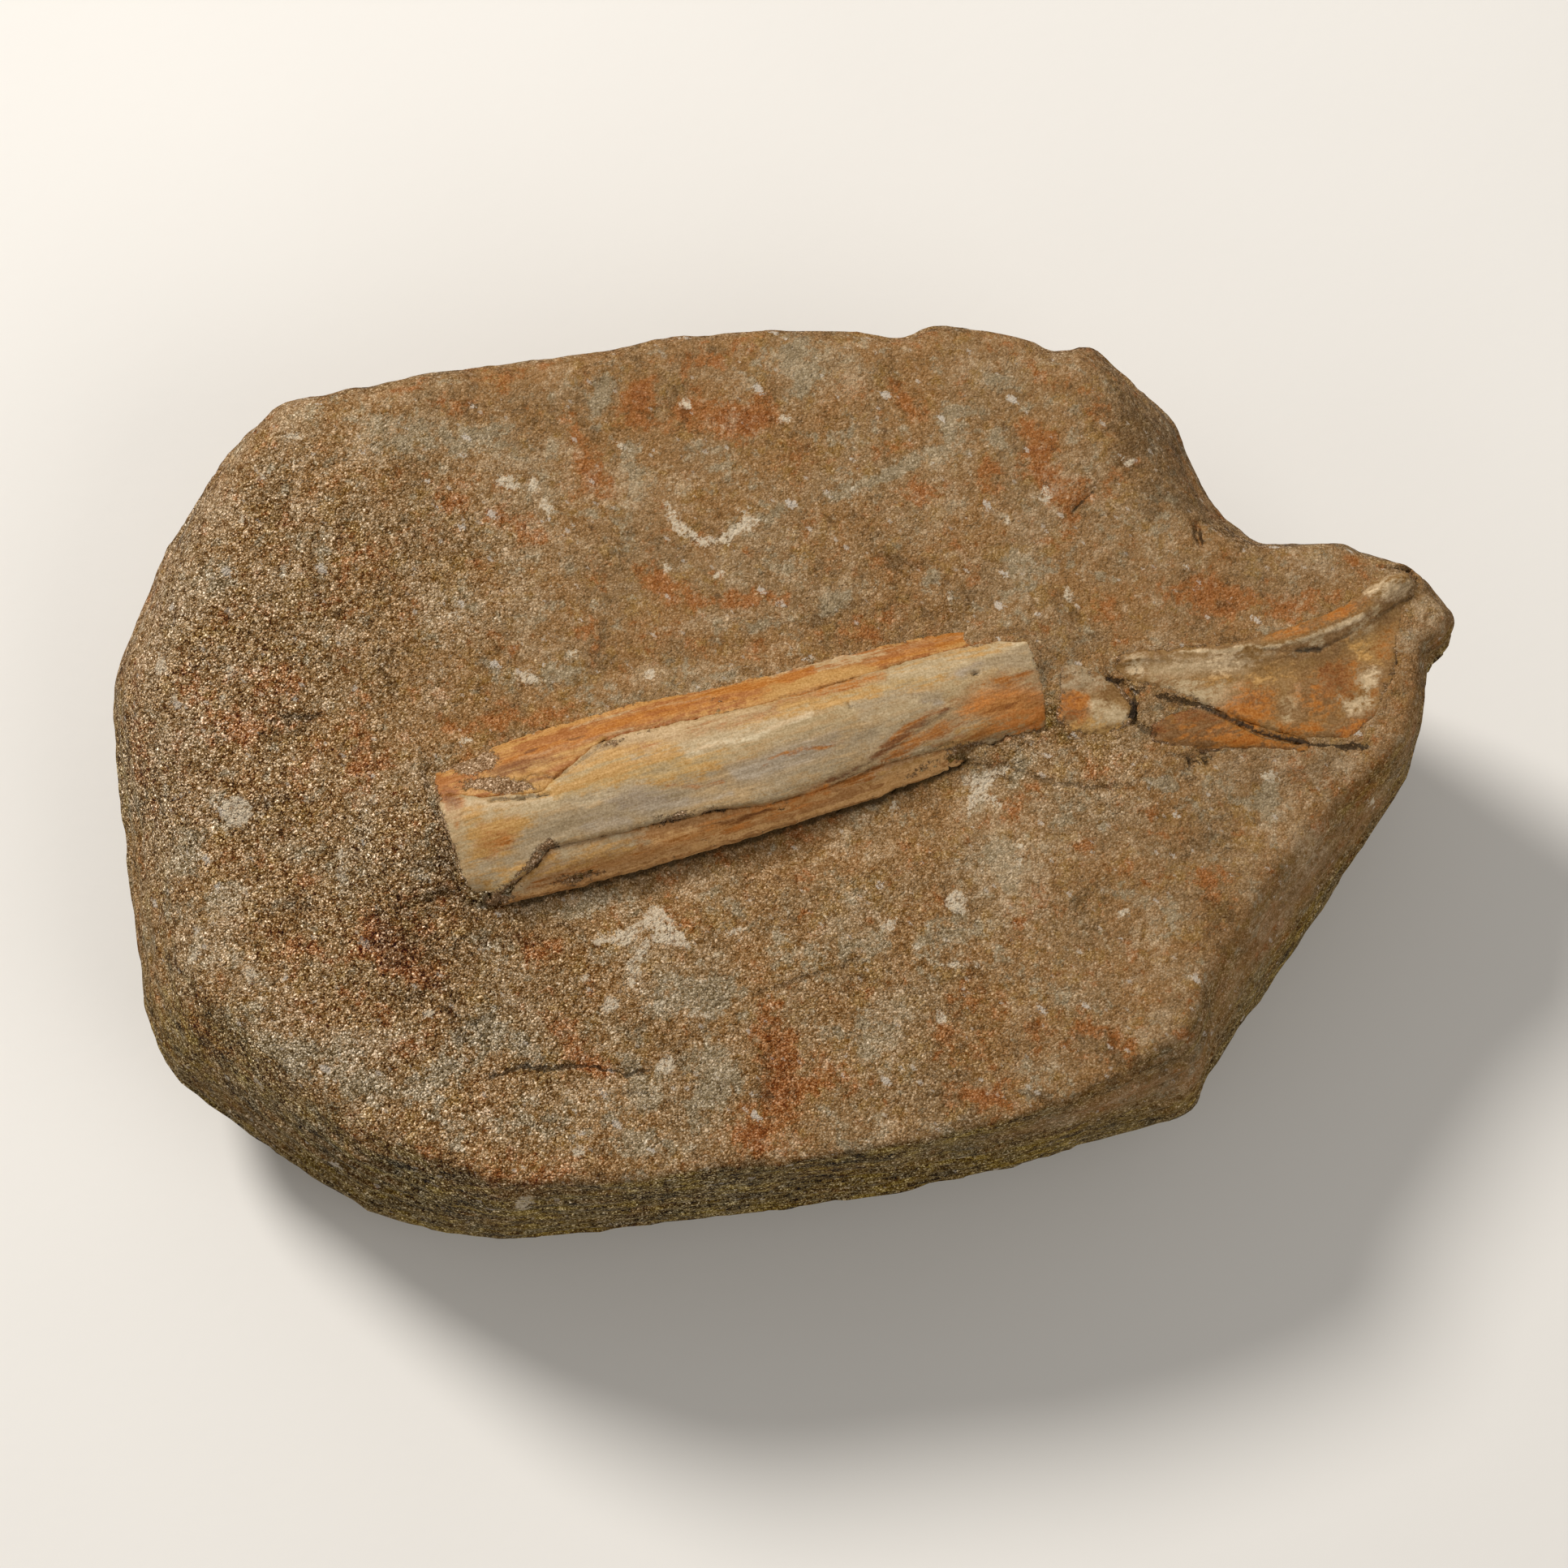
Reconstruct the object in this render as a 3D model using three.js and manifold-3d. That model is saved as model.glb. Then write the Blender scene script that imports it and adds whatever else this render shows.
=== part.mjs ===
// A pterosaur's limb bone in its block of sandstone, lying on the block's flat underside.
// Millimetres, +Z up. The origin is the middle of the underside, +X runs along the block and
// +Y across it. The bone's shaft lies in the upper face, and its flared end at the +X tip.

import * as THREE from 'three';
import { mergeVertices } from 'three/addons/utils/BufferGeometryUtils.js';
import { ImprovedNoise } from 'three/addons/math/ImprovedNoise.js';
import Module from 'manifold-3d';

// ---------------------------------------------------------------- driving dimensions

const FACE_HEIGHT = 32.6; // the upper face above the underside
const SHAFT_LENGTH = 60.6;
const SHAFT_START = { x: -32.35, y: -9.25 }; // middle of the shaft's broken -X end
const SHAFT_ANGLE = THREE.MathUtils.degToRad(16.8);
const SHAFT_CREST = 37.4; // highest line of the bone above the underside
const SEATING_DEPTH = 3.6; // how far the shaft goes down into the stone
const THIN_SEATING_DEPTH = 2.4; // the same for the thin pieces
const CLEARANCE = 0.3; // between a bone and its seat, and between neighbouring bones

const COLUMN_SPACING = 4.4; // between the columns of facets round the block
const FACE_RINGS = 14;
const SHOULDER_RINGS = 5;
const FLANK_RINGS = 5;

const SANDSTONE = { color: 0x9a7852, roughness: 0.95, metalness: 0 };
const BONE = { color: 0xc9ad83, roughness: 0.55, metalness: 0 };
const STAINED_BONE = { color: 0xb9803f, roughness: 0.6, metalness: 0 };

// ---------------------------------------------------------------- the block's outline

// Seen from above, from the +X tip round by the near side (-Y), the -X end and the far side.
// Each corner: x, y, height of the widest point, inset of the shoulder, inset of the underside.
const OUTLINE = [
  [69.0, 15.6, 22, 2.5, 8],
  [68.3, 13.4, 21, 2.2, 8],
  [66.1, 11.8, 20, 2, 8],
  [65.4, 5.6, 20, 2.2, 9],
  [64.1, 0.4, 18, 2.6, 9],
  [59.9, -5.3, 14, 4, 8],
  [52.6, -16.5, 13, 7.2, 7],
  [43.4, -29.2, 13, 8, 8],
  [42.3, -32.3, 13, 7, 8],
  [40.6, -33.4, 13, 5.5, 9],
  [33.8, -35.2, 12.5, 3, 9],
  [24.7, -38.0, 12, 1.8, 10],
  [11.5, -40.9, 12, 1.6, 11],
  [-0.9, -42.7, 12, 1.6, 11],
  [-16.6, -44.6, 12, 1.8, 11],
  [-27.3, -45.85, 12, 3, 11],
  [-33.8, -45.1, 12, 4.5, 12],
  [-41.5, -43.1, 12.5, 6, 12],
  [-47.8, -39.4, 13, 7, 12],
  [-54.8, -34.5, 13, 8, 12],
  [-61.0, -29.9, 14, 9.5, 12],
  [-63.2, -27.2, 14.5, 10.5, 12],
  [-64.9, -22.4, 15, 11, 12],
  [-66.1, -13.1, 16, 11.5, 12],
  [-67.8, -2.0, 16, 12, 12],
  [-69.0, 7.5, 16.5, 12, 12],
  [-68.6, 12.9, 17, 11, 12],
  [-63.5, 24.5, 20, 9.5, 12],
  [-57.0, 33.8, 24, 7.5, 12],
  [-51.5, 38.3, 27, 5, 11],
  [-36.7, 40.9, 29, 3.5, 10],
  [-21.7, 42.5, 30, 3, 9],
  [-10.9, 44.6, 30, 3, 9],
  [-1.8, 45.4, 30, 3, 9],
  [7.4, 45.2, 30, 3, 9],
  [12.0, 44.3, 30, 3, 9],
  [16.1, 45.85, 30, 3, 10],
  [23.6, 44.8, 30, 3, 10],
  [28.0, 43.1, 29, 3.5, 9],
  [31.8, 44.2, 28.5, 4, 10],
  [38.3, 38.9, 26, 8, 9],
  [40.6, 36.7, 25, 9, 9],
  [43.2, 30.6, 23, 7, 8],
  [45.6, 26.9, 23.5, 5, 8],
  [48.9, 23.5, 25, 3, 8],
  [57.6, 23.5, 25, 2.5, 8],
  [62.5, 20.6, 25, 2.5, 8],
  [65.4, 19.3, 24, 2.5, 8],
  [67.7, 17.5, 23, 2.5, 8],
];

// Flat fractures low on the sides: a point of each, and the direction that it faces.
const FRACTURES = [
  { at: [-5, 43, 19], facing: [0.05, 0.93, -0.36] },
  { at: [36, 37.5, 15], facing: [0.6, 0.72, -0.35] },
  { at: [-50, 34.5, 15], facing: [-0.45, 0.82, -0.36] },
  { at: [48, -19, 6], facing: [0.78, -0.5, -0.38] },
  { at: [2, -40.5, 6.5], facing: [0.1, -0.93, -0.36] },
];

// The facet rings run outwards from this line under the bone, from its -X to its +X end.
const SPINE = [[-42, -9], [-31, -8.9], [26, 8.4], [46, 9], [56, 10]];
const SPINE_STEPS = 30;

// Rises and hollows of the upper face: x, y, reach along x, reach along y, rise.
const SWELLS = [
  [-37.2, -9.6, 4.6, 7.5, 3.4], // sand banked against the shaft's broken end
  [-40, 15, 6, 9, -0.8],
  [-52, 6, 7, 5, -0.6],
  [-2, 15.5, 11, 3, 0.5],
  [31, -3.2, 8, 2.2, 0.9], // lip beside the middle fragment
  [22, 30, 12, 8, 0.5],
  [-20, -30, 18, 8, -0.5],
  [20, -24, 16, 8, 0.4],
  [48, -4, 8, 5, -0.8],
];
const TRENCH = { across: -9.9, reach: 2.1, depth: 1.9 }; // along the shaft's near side
const END_FALL = { start: -41, slope: 0.12 }; // the face falls away towards the -X end
const TIP_FALL = { start: 40, slope: 0.06 }; // and towards the +X tip

// ---------------------------------------------------------------- the bones' outlines

// The shaft's cross-sections, which stand closest where its splits turn.
const SHAFT_STATIONS = [
  0, 1, 2, 3, 4, 6, 7, 9, 10, 13, 16, 19, 22, 25, 28, 31, 34, 37, 40, 43, 46, 49, 52, 54, 55, 58,
  SHAFT_LENGTH,
];
// Across the shaft, measured along it from its -X end: the outer edges and the two splits.
const SHAFT_FAR_EDGE = [[0, 7.6], [6, 8.4], [19, 8.5], [25, 8.1], [31, 7.4], [49, 7.1], [61, 6.6]];
const SHAFT_NEAR_EDGE = [[0, -6.3], [2, -7.1], [21, -7.5], [39, -7.3], [50, -6.5], [54, -5.5], [61, -5.7]];
const UPPER_SPLIT = [
  [1, 4.0], [4, 2.6], [7, 1.8], [10, 1.4], [13, 2.9], [16, 4.4], [19, 4.8], [31, 3.8], [37, 3.5],
  [49, 4.1], [58, 4.1], [61, 3.3],
];
const LOWER_SPLIT = [
  [3, -6.4], [6, -5.4], [9, -3.8], [16, -4.3], [25, -4.8], [31, -5.6], [37, -5.6], [43, -4.9],
  [49, -4.9], [52, -5.3],
];
const UPPER_SPLINTER = { start: 0, end: 55, drop: 0.5 };
const LOWER_SPLINTER = { start: 3, end: 52, drop: 0.5 };

// The shaft's crown: height below the crest, from the far edge (0) to the near edge (1).
const CROWN = [[0, 3.4], [0.08, 2.3], [0.2, 1.1], [0.36, 0.25], [0.5, 0], [0.66, 0.5], [0.82, 1.7],
  [0.94, 3.3], [1, 4.8]];
const CREST_LINE = [[0, -0.5], [14, 0], [34, 0], [47, -0.9], [SHAFT_LENGTH, -3.2]]; // rise of the crest along the shaft

// The other pieces, by x: their far and near edges.
const FRAGMENT_FAR = [[27.8, 9.0], [30.7, 9.1], [32.5, 7.7], [34.3, 6.2], [34.9, 4.9]];
const FRAGMENT_NEAR = [[27.8, 3.2], [28.6, 2.1], [33.2, 1.9], [34.9, 3.3]];
const FLARE_FAR = [
  [33.4, 9.4], [35.7, 10.5], [39.7, 10.7], [45.4, 11.3], [48.7, 12.6], [53.7, 14.2], [57.0, 15.9],
  [59.5, 17.9], [61.1, 19.0], [63.0, 18.7], [63.6, 17.8],
];
const FLARE_NEAR = [
  [33.4, 8.5], [34.8, 7.5], [38.4, 6.5], [42.0, 5.4], [45.2, 4.0], [48.5, 2.8], [52.5, 1.5],
  [57.0, 1.7], [59.1, 3.5], [60.6, 6.0], [61.5, 9.0], [62.0, 12.0], [62.6, 14.5], [63.6, 16.8],
];
const STRIP_FAR = [[37.0, 2.6], [38.8, 4.0], [42.1, 4.7], [45.3, 3.4], [48.5, 2.3], [52.6, 1.2]];
const STRIP_NEAR = [[37.0, 1.2], [38.2, 0.6], [46.0, 0.2], [52.6, 0.3]];
const PLATE_RISE = 0.6; // how far the thin plates stand above the face
// The flared end's rim above the face, by x.
const RIM_RISE = [[33.4, 0.6], [45, 0.9], [57, 1.9], [63.6, 1.7]];

// ---------------------------------------------------------------- helpers

// A value that changes in straight lines between the pairs [at, value].
function between(pairs, at) {
  const last = pairs.length - 1;
  if (at <= pairs[0][0]) return pairs[0][1];
  if (at >= pairs[last][0]) return pairs[last][1];
  const next = pairs.findIndex(([place]) => place > at);
  const [from, low] = pairs[next - 1];
  const [to, high] = pairs[next];
  return THREE.MathUtils.mapLinear(at, from, to, low, high);
}

function range(start, end, step) {
  const count = Math.round((end - start) / step);
  return Array.from({ length: count + 1 }, (_, i) => start + ((end - start) * i) / count);
}

function shapeFrom(points, triangles) {
  const geometry = new THREE.BufferGeometry().setFromPoints(points);
  geometry.setIndex(triangles);
  geometry.computeVertexNormals();
  return geometry;
}

const wasm = await Module();
wasm.setup();

function toSolid(geometry) {
  const bare = geometry.clone();
  bare.deleteAttribute('normal');
  bare.deleteAttribute('uv');
  const merged = mergeVertices(bare);
  return new wasm.Manifold(new wasm.Mesh({
    numProp: 3,
    vertProperties: new Float32Array(merged.attributes.position.array),
    triVerts: new Uint32Array(merged.index.array),
  }));
}

function fromSolid(solid) {
  const { vertProperties, triVerts } = solid.getMesh();
  const geometry = new THREE.BufferGeometry();
  geometry.setAttribute('position', new THREE.BufferAttribute(new Float32Array(vertProperties), 3));
  geometry.setIndex(new THREE.BufferAttribute(new Uint32Array(triVerts), 1));
  geometry.computeVertexNormals();
  return geometry;
}

function pieceOf(name, geometry, finish) {
  const mesh = new THREE.Mesh(geometry, new THREE.MeshStandardMaterial(finish));
  mesh.name = name;
  return mesh;
}

// ---------------------------------------------------------------- the block

const rough = new ImprovedNoise();

function unevenness(x, y, z, size) {
  return rough.noise(x / size, y / size, z / size);
}

// Along and across the shaft, for a point of the block.
function shaftPlace(x, y) {
  const place = new THREE.Vector2(x - SHAFT_START.x, y - SHAFT_START.y);
  return place.rotateAround(new THREE.Vector2(), -SHAFT_ANGLE);
}

function faceHeight(x, y) {
  const place = shaftPlace(x, y);
  let height = FACE_HEIGHT;
  for (const [cx, cy, reachX, reachY, rise] of SWELLS) {
    height += rise * Math.exp(-(((x - cx) / reachX) ** 2) - ((y - cy) / reachY) ** 2);
  }
  const alongShaft = THREE.MathUtils.smoothstep(place.x, 0, 8)
    * (1 - THREE.MathUtils.smoothstep(place.x, SHAFT_LENGTH - 10, SHAFT_LENGTH + 4));
  height -= TRENCH.depth * alongShaft * Math.exp(-(((place.y - TRENCH.across) / TRENCH.reach) ** 2));
  height -= END_FALL.slope * Math.max(0, END_FALL.start - x);
  height -= TIP_FALL.slope * Math.max(0, x - TIP_FALL.start);
  return height + 0.5 * unevenness(x, y, 0, 17) + 0.3 * unevenness(x, y, 5, 7);
}

// The outline's corners, with more columns between them on its long stretches.
function outlineColumns() {
  return OUTLINE.flatMap((corner, i) => {
    const next = OUTLINE[(i + 1) % OUTLINE.length];
    const length = Math.hypot(next[0] - corner[0], next[1] - corner[1]);
    const count = Math.max(1, Math.round(length / COLUMN_SPACING));
    return Array.from({ length: count }, (_, k) => corner.map(
      (value, n) => THREE.MathUtils.lerp(value, next[n], k / count),
    ));
  });
}

function spinePoints() {
  const start = SPINE[0][0];
  const end = SPINE[SPINE.length - 1][0];
  return range(start, end, (end - start) / SPINE_STEPS).map((x) => new THREE.Vector2(x, between(SPINE, x)));
}

// One column of points from the spine over the shoulder and down the flank to the underside.
function columnPoints([x, y, widest, shoulderInset, baseInset], foot) {
  const rim = new THREE.Vector2(x, y);
  const inward = foot.clone().sub(rim).normalize();
  const inset = (distance) => rim.clone().addScaledVector(inward, distance);
  const points = [];
  const shoulder = inset(shoulderInset);
  for (let ring = 1; ring <= FACE_RINGS; ring += 1) {
    const at = foot.clone().lerp(shoulder, (ring / FACE_RINGS) ** 1.25);
    points.push(new THREE.Vector3(at.x, at.y, faceHeight(at.x, at.y)));
  }
  const drop = faceHeight(shoulder.x, shoulder.y) - widest;
  for (let ring = 1; ring <= SHOULDER_RINGS; ring += 1) {
    const turn = (ring / SHOULDER_RINGS) * (Math.PI / 2);
    const at = inset(shoulderInset * (1 - Math.sin(turn) ** 1.25));
    const z = widest + drop * Math.cos(turn) ** 1.25;
    const dent = 0.5 * Math.sin(2 * turn) * unevenness(at.x, at.y, z, 9);
    points.push(new THREE.Vector3(at.x, at.y, z).addScaledVector(new THREE.Vector3(inward.x, inward.y, 0), dent));
  }
  for (let ring = 1; ring <= FLANK_RINGS; ring += 1) {
    const turn = (ring / FLANK_RINGS) * (Math.PI / 2);
    const z = widest * (1 - Math.sin(turn) ** 1.3);
    const dent = 2.2 * Math.sin(2 * turn) * unevenness(x, y, z, 12);
    const at = inset(baseInset * (1 - Math.cos(turn) ** 1.3) + dent);
    points.push(new THREE.Vector3(at.x, at.y, ring === FLANK_RINGS ? 0 : z));
  }
  return points;
}

function blockShape() {
  const spine = spinePoints();
  const columns = outlineColumns();
  const reach = spine[spine.length - 1].x / OUTLINE[0][0];
  const feet = columns.map(([x]) => {
    const wanted = x * reach;
    const distances = spine.map((point) => Math.abs(point.x - wanted));
    return distances.indexOf(Math.min(...distances));
  });
  const points = spine.map((point) => new THREE.Vector3(point.x, point.y, faceHeight(point.x, point.y)));
  const rings = FACE_RINGS + SHOULDER_RINGS + FLANK_RINGS;
  columns.forEach((column, i) => points.push(...columnPoints(column, spine[feet[i]])));
  const index = (column, ring) => spine.length + (column % columns.length) * rings + ring;
  const triangles = [];
  columns.forEach((_, i) => {
    const here = feet[i];
    const next = feet[(i + 1) % columns.length];
    const step = Math.sign(next - here);
    for (let foot = here; foot !== next; foot += step) {
      triangles.push(foot, foot + step, index(i, 0));
    }
    triangles.push(next, index(i + 1, 0), index(i, 0));
    for (let ring = 0; ring + 1 < rings; ring += 1) {
      triangles.push(index(i, ring), index(i + 1, ring), index(i, ring + 1));
      triangles.push(index(i + 1, ring), index(i + 1, ring + 1), index(i, ring + 1));
    }
  });
  const base = columns.map((_, i) => index(i, rings - 1));
  const basePlan = base.map((vertex) => new THREE.Vector2(points[vertex].x, points[vertex].y));
  for (const [a, b, c] of THREE.ShapeUtils.triangulateShape(basePlan, [])) {
    triangles.push(base[a], base[c], base[b]);
  }
  return shapeFrom(points, triangles);
}

// A large box with one face in the fracture, standing where the stone has broken away.
function fractureShape({ at, facing }) {
  const size = 200;
  const box = new THREE.BoxGeometry(size, size, size).translate(0, 0, size / 2);
  const outward = new THREE.Vector3(...facing).normalize();
  const turn = new THREE.Quaternion().setFromUnitVectors(new THREE.Vector3(0, 0, 1), outward);
  return box.applyQuaternion(turn).translate(...at);
}

// ---------------------------------------------------------------- the bones

// A piece of bone between a far and a near edge, both given by the distance along it, with its
// top from a height function and a flat floor. Growing it by the clearance makes its seat.
function boneShape({ stations, far, near, across, top, floor }, grow = 0) {
  const last = stations.length - 1;
  const points = stations.flatMap((station, i) => {
    const shift = i === 0 ? -grow : i === last ? grow : 0;
    const farEdge = far(station);
    const nearEdge = near(station);
    const crown = across.map((fraction) => {
      const y = THREE.MathUtils.lerp(farEdge, nearEdge, fraction);
      const side = fraction === 0 ? grow : fraction === 1 ? -grow : 0;
      return new THREE.Vector3(station + shift, y + side, top(station, y, fraction) + (grow > 0 ? 4 : 0));
    });
    const under = [nearEdge - grow, farEdge + grow].map((y) => new THREE.Vector3(station + shift, y, floor - grow));
    return [...crown, ...under];
  });
  const size = across.length + 2;
  const triangles = [];
  for (let i = 0; i < last; i += 1) {
    for (let k = 0; k < size; k += 1) {
      const a = i * size + k;
      const b = i * size + ((k + 1) % size);
      triangles.push(a, b, a + size, b, b + size, a + size);
    }
  }
  for (const end of [0, last]) {
    const ring = points.slice(end * size, (end + 1) * size).map((p) => new THREE.Vector2(p.y, p.z));
    for (const corners of THREE.ShapeUtils.triangulateShape(ring, [])) {
      const face = corners.map((corner) => corner + end * size);
      triangles.push(...(end === 0 ? face.reverse() : face));
    }
  }
  return shapeFrom(points, triangles);
}

const CROWN_STEPS = CROWN.map(([fraction]) => fraction);
const SHAFT_FLOOR = FACE_HEIGHT - SEATING_DEPTH;
const THIN_FLOOR = FACE_HEIGHT - THIN_SEATING_DEPTH;

// The shaft's outer surface, over its whole width.
function shaftTop(along, across) {
  const far = between(SHAFT_FAR_EDGE, along);
  const near = between(SHAFT_NEAR_EDGE, along);
  const fraction = (far - across) / (far - near);
  return SHAFT_CREST + between(CREST_LINE, along) - between(CROWN, fraction);
}

const halfGap = CLEARANCE / 2;

const shaft = {
  stations: SHAFT_STATIONS,
  far: (s) => between(UPPER_SPLIT, s) - halfGap,
  near: (s) => (s >= LOWER_SPLINTER.start && s <= LOWER_SPLINTER.end
    ? between(LOWER_SPLIT, s) : between(SHAFT_NEAR_EDGE, s)) + halfGap,
  across: range(0, 1, 0.125),
  top: shaftTop,
  floor: SHAFT_FLOOR,
};

const upperSplinter = {
  stations: SHAFT_STATIONS.filter((s) => s >= UPPER_SPLINTER.start && s <= UPPER_SPLINTER.end),
  far: (s) => between(SHAFT_FAR_EDGE, s),
  near: (s) => between(UPPER_SPLIT, s) + halfGap,
  across: range(0, 1, 0.2),
  top: (s, y) => shaftTop(s, y) - UPPER_SPLINTER.drop,
  floor: SHAFT_FLOOR,
};

const lowerSplinter = {
  stations: SHAFT_STATIONS.filter((s) => s >= LOWER_SPLINTER.start && s <= LOWER_SPLINTER.end),
  far: (s) => between(LOWER_SPLIT, s) - halfGap,
  near: (s) => between(SHAFT_NEAR_EDGE, s),
  across: range(0, 1, 0.25),
  top: (s, y) => shaftTop(s, y) - LOWER_SPLINTER.drop,
  floor: SHAFT_FLOOR,
};

const middleFragment = {
  stations: range(27.8, 34.9, 1.2),
  far: (x) => between(FRAGMENT_FAR, x),
  near: (x) => between(FRAGMENT_NEAR, x),
  across: range(0, 1, 0.25),
  top: (x, y, v) => faceHeight(x, y) + PLATE_RISE * (0.4 + Math.sin(Math.PI * v)),
  floor: THIN_FLOOR,
};

// The rim rises along the far edge, then the surface hollows and comes up again at the near edge.
const FLARE_PROFILE = [
  [0, 0.2], [0.08, 0.75], [0.15, 1], [0.21, 0.75], [0.28, 0.25], [0.45, 0.12], [0.7, 0.15], [1, 0.2],
];

const flaredEnd = {
  stations: [...range(33.4, 59.1, 2.34), 60.6, 61.5, 62, 62.6, 63.6],
  far: (x) => between(FLARE_FAR, x),
  near: (x) => between(FLARE_NEAR, x),
  across: FLARE_PROFILE.map(([fraction]) => fraction),
  top: (x, y, v) => faceHeight(x, y) + between(RIM_RISE, x) * between(FLARE_PROFILE, v),
  floor: THIN_FLOOR - 1,
};

const lowerStrip = {
  stations: [37, 38.8, 40.4, 42.1, 43.7, 45.3, 48.5, 50.5, 52.6],
  far: (x) => between(STRIP_FAR, x),
  near: (x) => between(STRIP_NEAR, x),
  across: range(0, 1, 0.25),
  top: (x, y, v) => faceHeight(x, y) + PLATE_RISE * (0.3 + 0.7 * Math.sin(Math.PI * v)),
  floor: THIN_FLOOR - 1,
};

// ---------------------------------------------------------------- assembly

const shaftPieces = new THREE.Group();
shaftPieces.position.set(SHAFT_START.x, SHAFT_START.y, 0);
shaftPieces.rotation.z = SHAFT_ANGLE;
shaftPieces.updateMatrix();
shaftPieces.add(
  pieceOf('bone_shaft', boneShape(shaft), BONE),
  pieceOf('shaft_upper_splinter', boneShape(upperSplinter), STAINED_BONE),
  pieceOf('shaft_lower_splinter', boneShape(lowerSplinter), STAINED_BONE),
);

const seats = [
  ...[shaft, upperSplinter, lowerSplinter].map((bone) => boneShape(bone, CLEARANCE).applyMatrix4(shaftPieces.matrix)),
  ...[middleFragment, flaredEnd, lowerStrip].map((bone) => boneShape(bone, CLEARANCE)),
];
const missing = [...FRACTURES.map(fractureShape), ...seats];
const block = missing.reduce((solid, shape) => solid.subtract(toSolid(shape)), toSolid(blockShape()));

const fossil = new THREE.Group();
fossil.add(
  pieceOf('matrix', fromSolid(block), SANDSTONE),
  shaftPieces,
  pieceOf('middle_fragment', boneShape(middleFragment), STAINED_BONE),
  pieceOf('flared_end', boneShape(flaredEnd), BONE),
  pieceOf('flared_lower_strip', boneShape(lowerStrip), STAINED_BONE),
);

export default fossil;
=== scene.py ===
"""Looks of the fossil pterosaur bone: its sandstone, its six pieces of bone, floor, light, camera."""

import math

import bpy
import numpy as np
from mathutils import Matrix, Vector
from mathutils.bvhtree import BVHTree
from mathutils.kdtree import KDTree


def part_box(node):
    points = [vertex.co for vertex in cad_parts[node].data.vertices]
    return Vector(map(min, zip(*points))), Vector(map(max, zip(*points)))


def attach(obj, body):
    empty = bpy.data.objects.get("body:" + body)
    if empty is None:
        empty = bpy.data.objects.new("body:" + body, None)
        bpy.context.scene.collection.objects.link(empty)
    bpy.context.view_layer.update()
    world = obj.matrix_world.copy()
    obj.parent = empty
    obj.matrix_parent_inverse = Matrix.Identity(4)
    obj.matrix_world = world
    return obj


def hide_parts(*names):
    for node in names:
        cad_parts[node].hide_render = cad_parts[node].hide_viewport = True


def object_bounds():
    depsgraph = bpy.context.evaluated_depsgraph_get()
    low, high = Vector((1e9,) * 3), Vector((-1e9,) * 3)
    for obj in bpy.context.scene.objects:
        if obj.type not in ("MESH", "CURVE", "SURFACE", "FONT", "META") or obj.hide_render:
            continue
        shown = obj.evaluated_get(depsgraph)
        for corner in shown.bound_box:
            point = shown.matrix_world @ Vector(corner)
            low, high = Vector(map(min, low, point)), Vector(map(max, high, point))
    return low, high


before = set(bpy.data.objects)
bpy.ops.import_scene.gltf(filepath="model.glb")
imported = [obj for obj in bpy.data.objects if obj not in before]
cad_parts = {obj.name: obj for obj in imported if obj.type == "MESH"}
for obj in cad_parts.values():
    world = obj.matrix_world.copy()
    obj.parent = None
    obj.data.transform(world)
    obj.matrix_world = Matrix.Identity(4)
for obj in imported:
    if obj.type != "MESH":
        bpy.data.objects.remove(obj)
CAD_BOX = [list(corner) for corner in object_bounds()]

MM = 0.001

# ------------------------------------------------------------------ camera model

PHOTO_SIDE = 1932
LENS = 100.0
SENSOR = 36.0
CAMERA_ELEVATION = math.radians(76)
CAMERA_DISTANCE = 447.0
CAMERA_TARGET = np.array([0.37, 0.41, 18.0])  # like every place here, in millimetres
FORWARD = np.array([0.0, math.cos(CAMERA_ELEVATION), -math.sin(CAMERA_ELEVATION)])
RIGHT = np.array([1.0, 0.0, 0.0])
UP = np.array([0.0, math.sin(CAMERA_ELEVATION), math.cos(CAMERA_ELEVATION)])
CAMERA_PLACE = CAMERA_TARGET - FORWARD * CAMERA_DISTANCE
PIXELS_PER_SLOPE = LENS / SENSOR * PHOTO_SIDE
PIXEL = CAMERA_DISTANCE / PIXELS_PER_SLOPE  # millimetres on the stone per pixel of the photograph
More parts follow.
